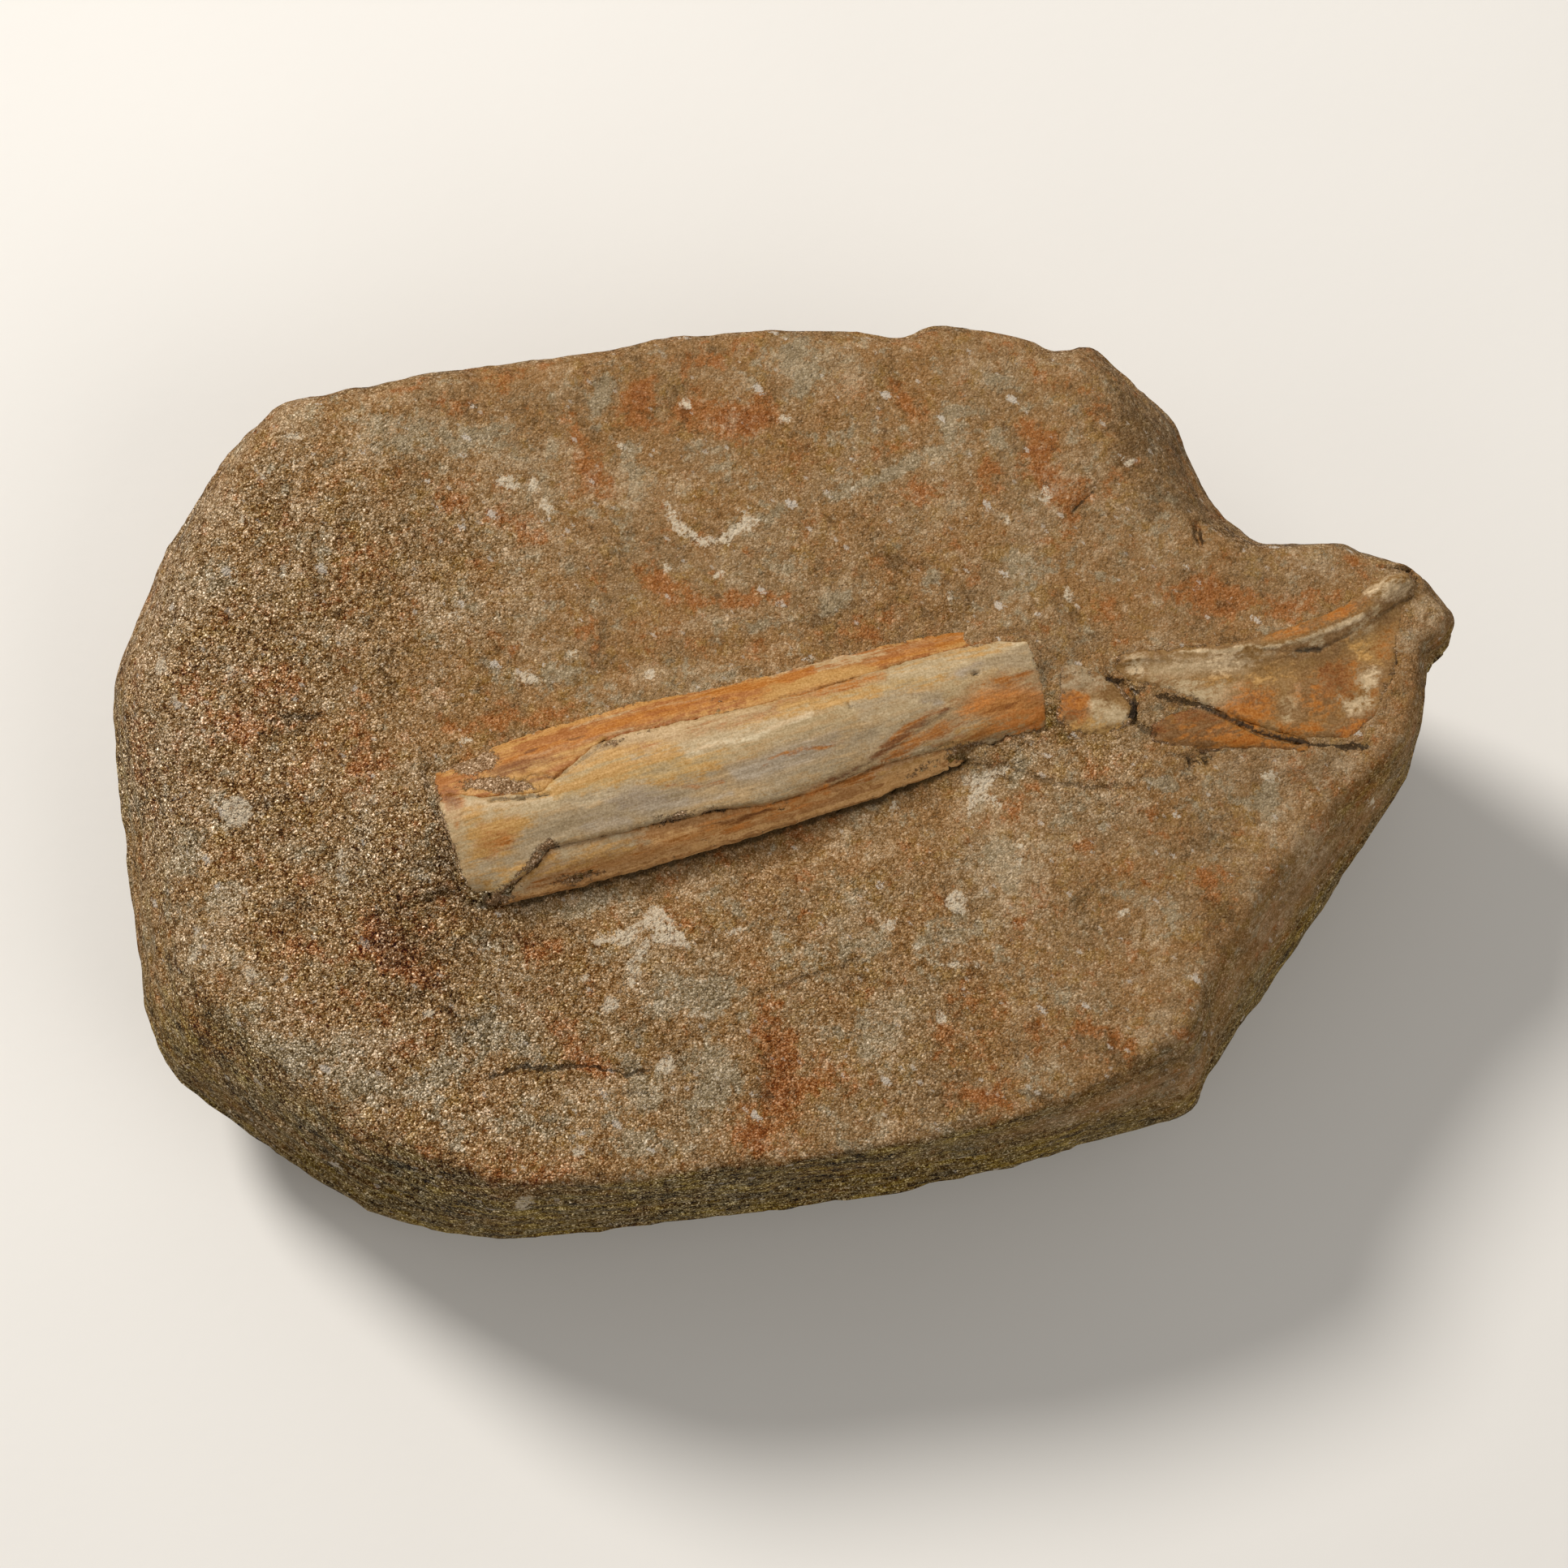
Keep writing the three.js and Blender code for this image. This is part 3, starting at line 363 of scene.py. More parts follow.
        (0.5, 0.3, [(860, 1020), (900, 1010), (950, 996), (950, 1002), (900, 1018), (864, 1028)]),
        (0.7, 0.3, [(536, 952), (560, 975), (570, 992), (556, 1000)]),
        (0.7, 0.3, [(700, 928), (745, 908), (800, 893), (860, 880), (860, 886), (800, 903), (745, 918)]),
    ],
}
# Colours of the bone's lines, as half width in millimetres, strength and line.
BONE_LINES = {
    "ochre": [
        (0.5, 0.7, [(900, 900), (1000, 872), (1100, 845), (1190, 822)]),
        (0.35, 0.8, [(700, 1005), (760, 985), (820, 968)]),
        (0.3, 0.8, [(800, 960), (870, 945), (930, 930)]),
    ],
    "grey": [
        (0.4, 0.7, [(780, 935), (860, 922), (940, 900)]),
        (0.3, 0.8, [(1080, 880), (1120, 862), (1160, 852)]),
    ],
    "violet": [
        (0.3, 0.6, [(800, 1000), (840, 990), (900, 978)]),
    ],
    "cream": [
        (0.35, 0.8, [(680, 1052), (720, 1042), (760, 1036)]),
        # painted light: the next two cream lines brighten the lower splinter's band, which its shape leaves
        # in shade
        (0.3, 0.8, [(1060, 962), (1100, 946), (1150, 930)]),
        (0.32, 0.9, [(1040, 972), (1080, 955), (1120, 932), (1160, 908), (1200, 890)]),
        (0.26, 0.9, [(960, 836), (1000, 828), (1040, 818), (1080, 812)]),
        (0.24, 0.8, [(700, 898), (760, 880), (820, 868), (880, 858)]),
        (0.22, 0.8, [(640, 934), (680, 926), (730, 908), (780, 896)]),
    ],
    "white": [
        # painted highlight along the shaft's crown
        (0.22, 1.4, [(847, 927), (880, 917), (930, 906), (960, 895), (1000, 881)]),
        (0.16, 0.9, [(1123, 783), (1160, 774), (1193, 767)]),
        (0.26, 1.0, [(686, 1046), (713, 1038), (750, 1031), (790, 1024)]),
        (0.24, 0.8, [(900, 844), (950, 826), (1000, 811), (1053, 808)]),
        # the flared end's crest: a pale rim with a painted highlight on it
        (0.26, 0.9, [(1405, 810), (1450, 806), (1500, 802), (1545, 797), (1600, 789), (1640, 776),
            (1680, 758)]),
        (0.2, 0.9, [(546, 990), (558, 1030), (564, 1070), (570, 1106)]),
        (0.22, 0.7, [(570, 986), (620, 992), (670, 984)]),
    ],
    "orange": [
        (0.22, 0.9, [(640, 1062), (690, 1050), (730, 1058)]),
        (0.25, 0.8, [(820, 965), (860, 968), (890, 962)]),
        (0.25, 0.7, [(940, 940), (990, 925), (1040, 912)]),
        (0.55, 0.8, [(1000, 982), (1060, 956), (1110, 926), (1165, 892)]),
        (0.35, 0.8, [(1100, 908), (1140, 884), (1180, 866)]),
    ],
    "rust": [
        (0.3, 1.1, [(940, 998), (990, 973), (1047, 950), (1090, 922), (1127, 896), (1170, 875)]),
        (0.3, 0.9, [(1282, 826), (1292, 850), (1303, 880), (1310, 896)]),
        (0.2, 0.7, [(640, 930), (680, 915), (720, 905)]),
        (0.18, 0.7, [(1080, 822), (1120, 816)]),
        (0.2, 0.8, [(640, 963), (660, 957), (690, 958), (720, 935), (745, 917)]),
    ],
}
# Dark, grainy or cracked lines on the bone: half width and depth in millimetres, then the line.
BONE_CRACKS = [
    (0.20, 0.5, [(604, 985), (640, 983), (676, 979)]),
    (0.16, 0.3, [(640, 962), (655, 955), (672, 955), (686, 960), (700, 946)]),
    (0.16, 0.35, [(688, 956), (705, 945), (720, 933), (735, 921), (745, 915)]),
    (0.30, 0.5, [(742, 917), (747, 912)]),
    (0.14, 0.25, [(960, 860), (1010, 848), (1060, 835)]),
    (0.22, 0.6, [(1200, 830), (1205, 829)]),
    (0.18, 0.3, [(1045, 868), (1048, 872)]),
    (0.18, 0.5, [(800, 1015), (840, 1006), (870, 1000), (900, 993), (950, 988)]),
    (0.12, 0.12, [(950, 986), (1000, 972), (1040, 955), (1080, 935), (1120, 910), (1165, 880)]),
    (0.16, 0.3, [(1138, 925), (1166, 916), (1190, 916), (1215, 910), (1250, 900), (1275, 892)]),
    (0.20, 0.3, [(559, 1040), (561, 1056)]),
    (0.14, 0.3, [(564, 1070), (566, 1085)]),
    (0.16, 0.4, [(1690, 765), (1715, 748), (1740, 735)]),
    (0.14, 0.4, [(1628, 800), (1650, 788), (1690, 765)]),
    (0.24, 0.5, [(1596, 803), (1612, 801), (1628, 800)]),
    (0.12, 0.2, [(1560, 800), (1580, 803), (1596, 803)]),
    (0.26, 0.6, [(1426, 857), (1455, 862), (1493, 874), (1524, 888)]),
    (0.32, 0.8, [(1524, 888), (1556, 904), (1600, 913), (1618, 919)]),
    (0.28, 0.7, [(1618, 919), (1650, 921), (1686, 920)]),
]
# Sand left on the bone, in the form of the stone's patches.
SAND_PATCHES = [
    (600, 966, 40, 9, 0, 1.3), (640, 972, 30, 6, 5, 1.0), (560, 936, 30, 14, 10, 1.6),
    (584, 944, 18, 11, 20, 1.5), (640, 905, 40, 5, 22, 0.8), (740, 880, 50, 4, 14, 0.6),
    (545, 945, 16, 14, 0, 0.8), (560, 1108, 26, 14, 0, 0.8), (680, 1042, 14, 10, 0, 1.0),
    (830, 1010, 30, 7, 12, 1.1), (880, 1000, 30, 5, 8, 0.8), (600, 1110, 40, 14, 20, 0.9),
    (700, 1085, 30, 8, 15, 0.6), (1250, 800, 14, 10, 0, 0.4), (662, 1056, 16, 6, 47, 1.0),
    (642, 1078, 18, 6, 47, 1.0), (620, 1100, 18, 7, 45, 1.0), (755, 915, 20, 7, 15, 0.8),
    (800, 900, 26, 4, 12, 0.6), (1190, 930, 40, 8, 10, 0.9), (1300, 860, 12, 50, 0, 1.0),
    (1130, 950, 50, 8, 20, 0.7), (1420, 880, 20, 14, 0, 0.8), (1700, 900, 14, 20, 0, 0.6),
    (890, 862, 20, 5, 5, 0.6), (1340, 830, 40, 14, 0, 0.5), (1732, 790, 9, 44, 0, 1.0),
    (1716, 862, 14, 22, 30, 0.9), (1400, 830, 10, 8, 0, 0.5), (740, 1076, 50, 6, 14, 0.55),
    (604, 934, 14, 16, 0, 1.0), (1206, 780, 8, 12, 0, 0.7), (860, 1040, 40, 5, 16, 0.5),
    (960, 1000, 40, 5, 18, 0.5), (1180, 918, 40, 6, 8, 0.55), (1706, 880, 8, 26, 0, 0.8),
]

# ------------------------------------------------------------------ mesh helpers


def points_of(mesh):
    """The mesh's vertices in millimetres."""
    flat = np.empty(len(mesh.vertices) * 3, np.float32)
    mesh.vertices.foreach_get("co", flat)
    return flat.reshape(-1, 3).astype(float) / MM


def set_points(mesh, points):
    mesh.vertices.foreach_set("co", (points * MM).astype(np.float32).ravel())
    mesh.update()


def within_box(points):
    """The points, none of them outside the CAD model's box."""
    low, high = (np.array(corner) / MM for corner in CAD_BOX)
    return np.clip(points, low, high)


def normals_of(mesh):
    flat = np.empty(len(mesh.vertices) * 3, np.float32)
    mesh.vertex_normals.foreach_get("vector", flat)
    return flat.reshape(-1, 3).astype(float)


def set_attribute(mesh, name, values):
    attribute = mesh.attributes.new(name, "FLOAT", "POINT")
    attribute.data.foreach_set("value", values.astype(np.float32))


def add_object(name, mesh):
    made = bpy.data.objects.new(name, mesh)
    bpy.context.scene.collection.objects.link(made)
    return made


def apply_modifiers(made):
    seen = made.evaluated_get(bpy.context.evaluated_depsgraph_get())
    mesh = bpy.data.meshes.new_from_object(seen)
    made.modifiers.clear()
    made.data = mesh


def remesh(made, voxel):
    modifier = made.modifiers.new("remesh", "REMESH")
    modifier.mode = "VOXEL"
    modifier.voxel_size = voxel * MM
    modifier.use_smooth_shade = True


def smooth(made, turns):
    modifier = made.modifiers.new("smooth", "SMOOTH")
    modifier.factor = 0.5
    modifier.iterations = turns


def surface_tree(meshes):
    """A tree of the surfaces of these meshes, for rays and nearest points, in millimetres."""
    points = []
    faces = []
    for mesh in meshes:
        start = len(points)
        points.extend(tuple(vertex.co / MM) for vertex in mesh.vertices)
        faces.extend([start + index for index in polygon.vertices] for polygon in mesh.polygons)
    return BVHTree.FromPolygons(points, faces)


# ------------------------------------------------------------------ places

solid_tree = surface_tree([node.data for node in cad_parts.values()])
FACE_HEIGHT = 32.6  # of the block's upper face, for a pixel beside the solids
SHAFT_START = np.array([-32.35, -9.25])  # the middle of the shaft's left end in plan
SHAFT_ANGLE = math.radians(16.8)  # from +X to the shaft's length
NEARBY = [(dx, dy) for dx in (-7, 0, 7) for dy in (-7, 0, 7)]  # pixels round the one that is placed
ABOVE = 100.0  # the height that rays go down from
FAR = 1e9
TINY = 1e-9


def line_of_sight(x, y):
    """The direction from the camera through that pixel of the photograph."""
    slope_x = (x - PHOTO_SIDE / 2) / PIXELS_PER_SLOPE
    slope_y = -(y - PHOTO_SIDE / 2) / PIXELS_PER_SLOPE
    return FORWARD + RIGHT * slope_x + UP * slope_y


def photo_place(x, y):
    """Where that pixel of the photograph is, at the usual height of the solids round it."""
    sights = [Vector(line_of_sight(x + dx, y + dy)).normalized() for dx, dy in NEARBY]
    hits = [solid_tree.ray_cast(Vector(CAMERA_PLACE), sight)[0] for sight in sights]
    heights = [hit.z for hit in hits if hit is not None]
    level = np.median(heights) if heights else FACE_HEIGHT
    direction = line_of_sight(x, y)
    return CAMERA_PLACE + direction * (level - CAMERA_PLACE[2]) / direction[2]


def height_below(tree, x, y):
    """The height of the tree's top surface at x, y, or None."""
    hit = tree.ray_cast(Vector((x, y, ABOVE)), Vector((0.0, 0.0, -1.0)))[0]
    return None if hit is None else hit.z


# ------------------------------------------------------------------ noise and masks

LAYER_SEEDS = 11  # between the seeds of a noise's layers
AXIS_SEEDS = 31  # between the seeds of a shift's three directions
SPOT_HEIGHT = 2  # a spot's least half height, so that it covers the relief that it lies on
STROKE_SOFTNESS = 1.4
AREA_EDGE = (-2.2, 1.8)  # an area's soft edge from outside to inside, for a softness of 1


def turned(gap, angle):
    """How far along and across that direction each step in plan goes."""
    along = gap[:, 0] * math.cos(angle) + gap[:, 1] * math.sin(angle)
    across = gap[:, 1] * math.cos(angle) - gap[:, 0] * math.sin(angle)
    return along, across


def along_and_across(points):
    """Places along and across the shaft."""
    return np.stack(turned(points[:, :2] - SHAFT_START, SHAFT_ANGLE), axis=1)


def lattice(cells, seed):
    """A fixed random number from 0 to 1 for each whole-number cell, from an integer hash."""
    x, y, z = (cells[:, axis].astype(np.uint64) for axis in range(3))
    mixed = x * np.uint64(0x9E3779B1) ^ y * np.uint64(0x85EBCA77) ^ z * np.uint64(0xC2B2AE3D)
    mixed ^= np.uint64(seed * 7919 + 17)
    mixed = (mixed ^ (mixed >> np.uint64(15))) * np.uint64(0x2C1B3C6D) & np.uint64(0xFFFFFFFF)
    mixed = (mixed ^ (mixed >> np.uint64(12))) * np.uint64(0x297A2D39) & np.uint64(0xFFFFFFFF)
    return (mixed ^ (mixed >> np.uint64(15))).astype(float) / 0xFFFFFFFF


def noise(points, size, seed=0):
    """Smooth noise from -1 to 1 whose lumps are about that size in millimetres."""
    place = points / size + 1000.0
    cell = np.floor(place).astype(np.int64)
    part = place - cell
    part = part * part * (3 - 2 * part)
    total = np.zeros(len(points))
    for corner in range(8):
        step = np.array([corner & 1, corner >> 1 & 1, corner >> 2 & 1])
        weight = np.prod(np.where(step, part, 1 - part), axis=1)
        total += weight * lattice(cell + step, seed)
    return total * 2 - 1


def layered_noise(points, size, seed=0, layers=3, gain=0.5):
    total = np.zeros(len(points))
    for layer in range(layers):
        total += gain ** layer * noise(points, size / 2 ** layer, seed + layer * LAYER_SEEDS)
    return total


def ramp(values, low, high):
    """Rises smoothly from 0 at low to 1 at high."""
    part = np.clip((values - low) / (high - low), 0, 1)
    return part * part * (3 - 2 * part)


def segment_place(points, start, end):
    """How far along a segment each point is, 0 to 1 between its ends, and its squared distance to it."""
    along = end - start
    part = (points - start) @ along / max(along @ along, TINY)
    gap = points - start - np.clip(part, 0, 1)[:, None] * along
    return part, np.einsum("ij,ij->i", gap, gap)


def line_distance(points, line):
    """Distance in millimetres to a line through the places in 3-D."""
    nearest = np.full(len(points), FAR)
    for start, end in zip(line[:-1], line[1:]):
        nearest = np.minimum(nearest, segment_place(points, start, end)[1])
    return np.sqrt(nearest)


def placed(line):
    return [photo_place(x, y) for x, y in line]


def spot_reach(points, x, y, half_length, half_width, turn):
    """0 in the middle of a spot and 1 on its edge."""
    gap = points - photo_place(x, y)
    along, across = turned(gap, math.radians(turn))
    length = half_length * PIXEL
    width = half_width * PIXEL
    height = max(width, SPOT_HEIGHT)
    return np.sqrt((along / length) ** 2 + (across / width) ** 2 + (gap[:, 2] / height) ** 2)


def patches(points, table):
    """The soft sum of a table's patches at the points."""
    total = np.zeros(len(points))
    for x, y, half_length, half_width, turn, strength in table:
        reach = spot_reach(points, x, y, half_length, half_width, turn)
        total += strength * np.exp(-reach ** 2)
    return total


def sand_cover(points):
    """0 to 1: how much sand is left on the bone, or on the stone beside it."""
    return np.clip(patches(points, SAND_PATCHES), 0, 1)


def coarse_share(points):
    """0 to 1: how strongly the stone's grain stands out."""
    table = [(x, y, reach, reach, 0, strength) for x, y, reach, strength in COARSE_GRAIN]
    return np.clip(patches(points, table), 0, 1)


def strokes(points, table):
    """The strongest of a table's soft strokes at the points."""
    total = np.zeros(len(points))
    for half_width, strength, line in table:
        reach = line_distance(points, placed(line)) / half_width
        total = np.maximum(total, strength * np.exp(-reach ** 2 / STROKE_SOFTNESS))
    return total


def outline_depth(points, outline):
    """How deep inside an outline the points are in plan, in millimetres, and below 0 outside it."""
    plan = points[:, :2]
    corners = [place[:2] for place in outline]
    nearest = np.full(len(points), FAR)
    inside = np.zeros(len(points), bool)
    for start, end in zip(corners, corners[1:] + corners[:1]):
        nearest = np.minimum(nearest, segment_place(plan, start, end)[1])
        along = end - start
        gap = plan - start
        level = (start[1] > plan[:, 1]) != (end[1] > plan[:, 1])
        inside ^= level & (gap[:, 0] < gap[:, 1] * along[0] / (along[1] or TINY))
    return np.where(inside, 1, -1) * np.sqrt(nearest)


def areas(points, table):
    """The strongest of a table's outlined areas at the points."""
    total = np.zeros(len(points))
    for strength, softness, outline in table:
        depth = outline_depth(points, placed(outline))
        outside, inside = (softness * edge for edge in AREA_EDGE)
        total = np.maximum(total, strength * ramp(depth, outside, inside))
    return total


CRACKS = STONE_CRACKS + BONE_CRACKS
CRACK_SPAN = 9.0  # further than this from a crack, nothing is noted of it
MARK_SPAN = 5.0  # the same for the white marks


def crack_places(points):
    """The points moved a little, so that the cracks wander."""
    return wandering(points, 1.2, 0.12, seed=81)


def crack_depth(points, spacing):
    """How deep the cracks are at the points, each at least as wide as the mesh can show."""
    depth = np.zeros(len(points))
    for half_width, deepest, line in CRACKS:
        shown = max(half_width, spacing)
        reach = line_distance(points, placed(line)) / shown
        depth = np.maximum(depth, deepest * (half_width / shown) * np.exp(-reach ** 2))
    return depth


def crack_attributes(mesh, points):
    """Signed distance to the nearest crack's middle, plain distance to it, and its half width there.

    The signed distance passes straight through zero, so a crack narrower than the mesh's own spacing still
    shows; the plain distance tells a real crack from a change of side between two cracks.
    """
    nearest = np.full(len(points), CRACK_SPAN)
    side = np.full(len(points), CRACK_SPAN)
    width = np.zeros(len(points))
    for half_width, _, line in CRACKS:
        places = placed(line)
        last = len(places) - 2
        for index, (start, end) in enumerate(zip(places[:-1], places[1:])):
            along = end - start
            length = math.sqrt(along @ along)
            part, squared = segment_place(points, start, end)
            distance = np.sqrt(squared)
            turn = along[0] * (points[:, 1] - start[1]) - along[1] * (points[:, 0] - start[0])
            before = np.maximum(0, -part) * (index == 0)
            after = np.maximum(0, part - 1) * (index == last)
            beyond = (before + after) * length
            beside = np.sqrt(np.maximum(distance ** 2 - beyond ** 2, 0))
            closer = distance < nearest
            nearest = np.where(closer, distance, nearest)
            side = np.where(closer, np.sign(turn) * np.where(beyond > 0, beside, distance), side)
            width = np.where(closer, half_width - beyond, width)
    set_attribute(mesh, "crack_side", np.clip(side, -2, 2))
    set_attribute(mesh, "crack_gap", np.clip(nearest, 0, 2))
    set_attribute(mesh, "crack_width", np.clip(width, -1, 1))


def mark_edge(points):
    """Distance to the nearest white mark's edge in millimetres, below 0 inside it."""
    nearest = np.full(len(points), MARK_SPAN)
    for outline in WHITE_OUTLINES:
        nearest = np.minimum(nearest, -outline_depth(points, placed(outline)))
    for half_width, line in WHITE_LINES:
        nearest = np.minimum(nearest, line_distance(points, placed(line)) - half_width)
    for x, y, half_length, half_width, turn in WHITE_SPOTS:
        reach = spot_reach(points, x, y, half_length, half_width, turn)
        nearest = np.minimum(nearest, (reach - 1) * min(half_length, half_width) * PIXEL)
    return nearest


def wandering(points, size, amount, seed):
    """The points moved by noise, so that what is drawn at them has an uneven edge."""
    shift = [layered_noise(points, size, seed + axis * AXIS_SEEDS) for axis in range(3)]
    return points + amount * np.stack(shift, axis=1)


# ------------------------------------------------------------------ the sandstone block

BLOCK_VOXEL = 0.42
BLOCK_TURNS = 16  # of smoothing
BANK_TURNS = 3  # the same for the stone round the bones
BLOCK_TRIANGLES = 190000
WEIGHT_LEVELS = 10  # of how much larger the triangles get towards the underside
SIDE_FACTOR = 6.0
BED_THICKNESS = 2.6
BED_SLOPE = 0.06
PLAN_STEP = 0.25  # between the places where the bones' heights are known
SEAT_LEVEL = 26.0  # every seat's floor is higher
ON_BONE = 0.6 * PLAN_STEP  # a place this near a bone in plan is on it
RIM_FROM = 0.5  # from a bone in plan, where the face round its seat begins
RIM_TO = 1.5
RIM_POINTS = 16  # of the rim, whose mean height fills the seat at a place
BANK_REACH = 1.8  # how far from the bone the stone comes up to its edge
END_REACH = 4.5  # the same at the shaft's two ends, where the bone runs level into the stone
SEATED_REACH = 2.5 * END_REACH  # further from the bones the stone stays as it is
NEAR_EDGE_SHADOW_REACH = 1.1  # how far the painted shadow beside the shaft's near edge reaches
EDGE_DROP = 0.05  # of the stone's edge below the bone's
UNDER_BONE = 0.45  # how much lower the stone is under the bone
HIDDEN = (0.2, 0.9)  # how far in from its edge the bone begins to hide the stone, and hides it all
CRACK_FILL = 0.12  # how far below the bones' edges the sand between them stays
CRACK_REACH = 0.5  # how far from it a bone's edge sets the height of that sand
SAND_COVER = 0.5  # how far sand reaches over a bone's edge
SANDY = 0.5  # from this share of sand on, it may cover the bone
COVERED = 0.25  # how far below a bone's top the stone stays elsewhere
LEVEL_CELLS = 3  # how many steps round a place its usual height is taken over
LEVEL_PERCENTILE = 60
RING_REACH = 0.62  # how far round a place bone has to lie for it to be in a crack
RING = [(math.cos(turn), math.sin(turn)) for turn in np.linspace(0, 2 * math.pi, 8, endpoint=False)]
# From where to where the shaft's bare near side comes in, across and along the shaft, and where it ends.
NEAR_ACROSS = (3.0, 6.0)
BARE_START = (-2.0, 5.0)
BARE_END = (53.0, 59.0)
# The same for the shaft's ends, where the bone runs level into the stone.
LEFT_END = (-1.0, 1.5)
RIGHT_START = (57.0, 60.0)
RIGHT_END = (64.0, 67.0)
RIGHT_ACROSS = (-9.0, -6.0)


def plan_tree(places):
    """A tree that finds the nearest of these places in plan."""
    tree = KDTree(len(places))
    for index, place in enumerate(places):
        tree.insert((place[0], place[1], 0.0), index)
    tree.balance()
    return tree


def levelled(heights):
    """Each cell's usual height within LEVEL_CELLS of it, which leaves out the steep sides' own heights."""
    padded = np.pad(heights, LEVEL_CELLS, constant_values=np.nan)
    span = range(2 * LEVEL_CELLS + 1)
    rows, columns = heights.shape
    layers = [padded[i:i + rows, j:j + columns] for i in span for j in span]
    with np.errstate(all="ignore"):
        return np.nanpercentile(np.stack(layers), LEVEL_PERCENTILE, axis=0)


class Seating:
    """Where the finished bones are in plan, and how high they stand at their edges."""

    def __init__(self, bones):
        corners = np.concatenate([points_of(bone.data) for bone in bones])
        low, high = corners.min(0) - 1, corners.max(0) + 1
        xs = np.arange(low[0], high[0], PLAN_STEP)
        ys = np.arange(low[1], high[1], PLAN_STEP)
        self.all = surface_tree([bone.data for bone in bones])
        self.levels = []
        self.plans = []
        covered = np.zeros((len(xs), len(ys)), bool)
        for bone in bones:
            tree = surface_tree([bone.data])
            heights = np.array([[height_below(tree, x, y) for y in ys] for x in xs], float)
            cells = np.nonzero(~np.isnan(heights))
            covered[cells] = True
            self.levels.append(levelled(heights)[cells])
            self.plans.append(plan_tree(list(zip(xs[cells[0]], ys[cells[1]]))))
        here, beside = np.nonzero(covered), np.nonzero(~covered)
        self.plan = plan_tree(list(zip(xs[here[0]], ys[here[1]])))
        self.beside = plan_tree(list(zip(xs[beside[0]], ys[beside[1]])))

    def gap(self, x, y):
        """Distance in plan to the nearest bone."""
        return self.plan.find((x, y, 0.0))[2]

    def depth(self, x, y):
        """Distance in plan to the nearest place beside the bones."""
        return self.beside.find((x, y, 0.0))[2]

    def enclosed(self, x, y):
        """Whether there is bone all round a place."""
        ring = [height_below(self.all, x + RING_REACH * c, y + RING_REACH * s) for c, s in RING]
        return None not in ring

    def edge(self, x, y, reach):
        """The height of the bones' edges near a place, and how near they are, from 0 to 1."""
        weights = TINY
        total = 0.0
        for plan, levels in zip(self.plans, self.levels):
            _, nearest, gap = plan.find((x, y, 0.0))
            weight = math.exp(-(gap / reach) ** 2)
            weights += weight
            total += weight * levels[nearest]
        return total / weights, min(1.0, weights)


def fill_seats(points, seating):
    """Brings the floors and walls of the bones' seats up to the face round them."""
    upper = np.nonzero(points[:, 2] > SEAT_LEVEL)[0]
    gaps = np.array([seating.gap(x, y) for x, y, _ in points[upper]])
    seats = upper[gaps < RIM_FROM]
    rim = upper[(gaps >= RIM_FROM) & (gaps < RIM_TO)]
    around = plan_tree(points[rim])
    for index in seats:
        x, y, _ = points[index]
        near = [found[1] for found in around.find_n((x, y, 0.0), RIM_POINTS)]
        points[index, 2] = points[rim[near], 2].mean()
    return points


def banked(x, y):
    """1 where the stone comes up to the bone's edge, and 0 along the shaft's near side."""
    along, across = along_and_across(np.array([[x, y]]))[0]
    beside = ramp(-across, *NEAR_ACROSS)
    return 1 - beside * ramp(along, *BARE_START) * (1 - ramp(along, *BARE_END))


def bank_reach(x, y):
    """How far from the bone the stone comes up to its edge at a place."""
    along, across = along_and_across(np.array([[x, y]]))[0]
    left = ramp(-along, *LEFT_END)
    right = ramp(along, *RIGHT_START) * (1 - ramp(along, *RIGHT_END)) * ramp(across, *RIGHT_ACROSS)
    return BANK_REACH + (END_REACH - BANK_REACH) * max(left, right)


def seat_bones(points, normals, seating):
    """The stone meets the bones' edges, and sand fills the cracks between them."""
    sand = sand_cover(points)
    for index in np.nonzero((points[:, 2] > SEAT_LEVEL) & (normals[:, 2] > 0))[0]:
        x, y, z = points[index]
        gap = seating.gap(x, y)
        if gap > SEATED_REACH:
            continue
        reach = bank_reach(x, y)
        share = banked(x, y)
        enclosed = gap < RING_REACH and seating.enclosed(x, y)
        level, near = seating.edge(x, y, CRACK_REACH if gap < RING_REACH else reach)
        if gap < ON_BONE:
            if enclosed or share > 0.5:
                hidden = ramp(seating.depth(x, y) - SAND_COVER * sand[index], *HIDDEN)
                points[index, 2] = level - EDGE_DROP * (1 - 2 * sand[index]) - hidden * UNDER_BONE
            top = height_below(seating.all, x, y)
            if top is not None and share < 0.5 and sand[index] < SANDY:
                points[index, 2] = min(points[index, 2], top - COVERED)
        elif enclosed:
            points[index, 2] = level - CRACK_FILL * (1 - 1.5 * sand[index])
        else:
            points[index, 2] += share * near * (level - EDGE_DROP - z)
    return points


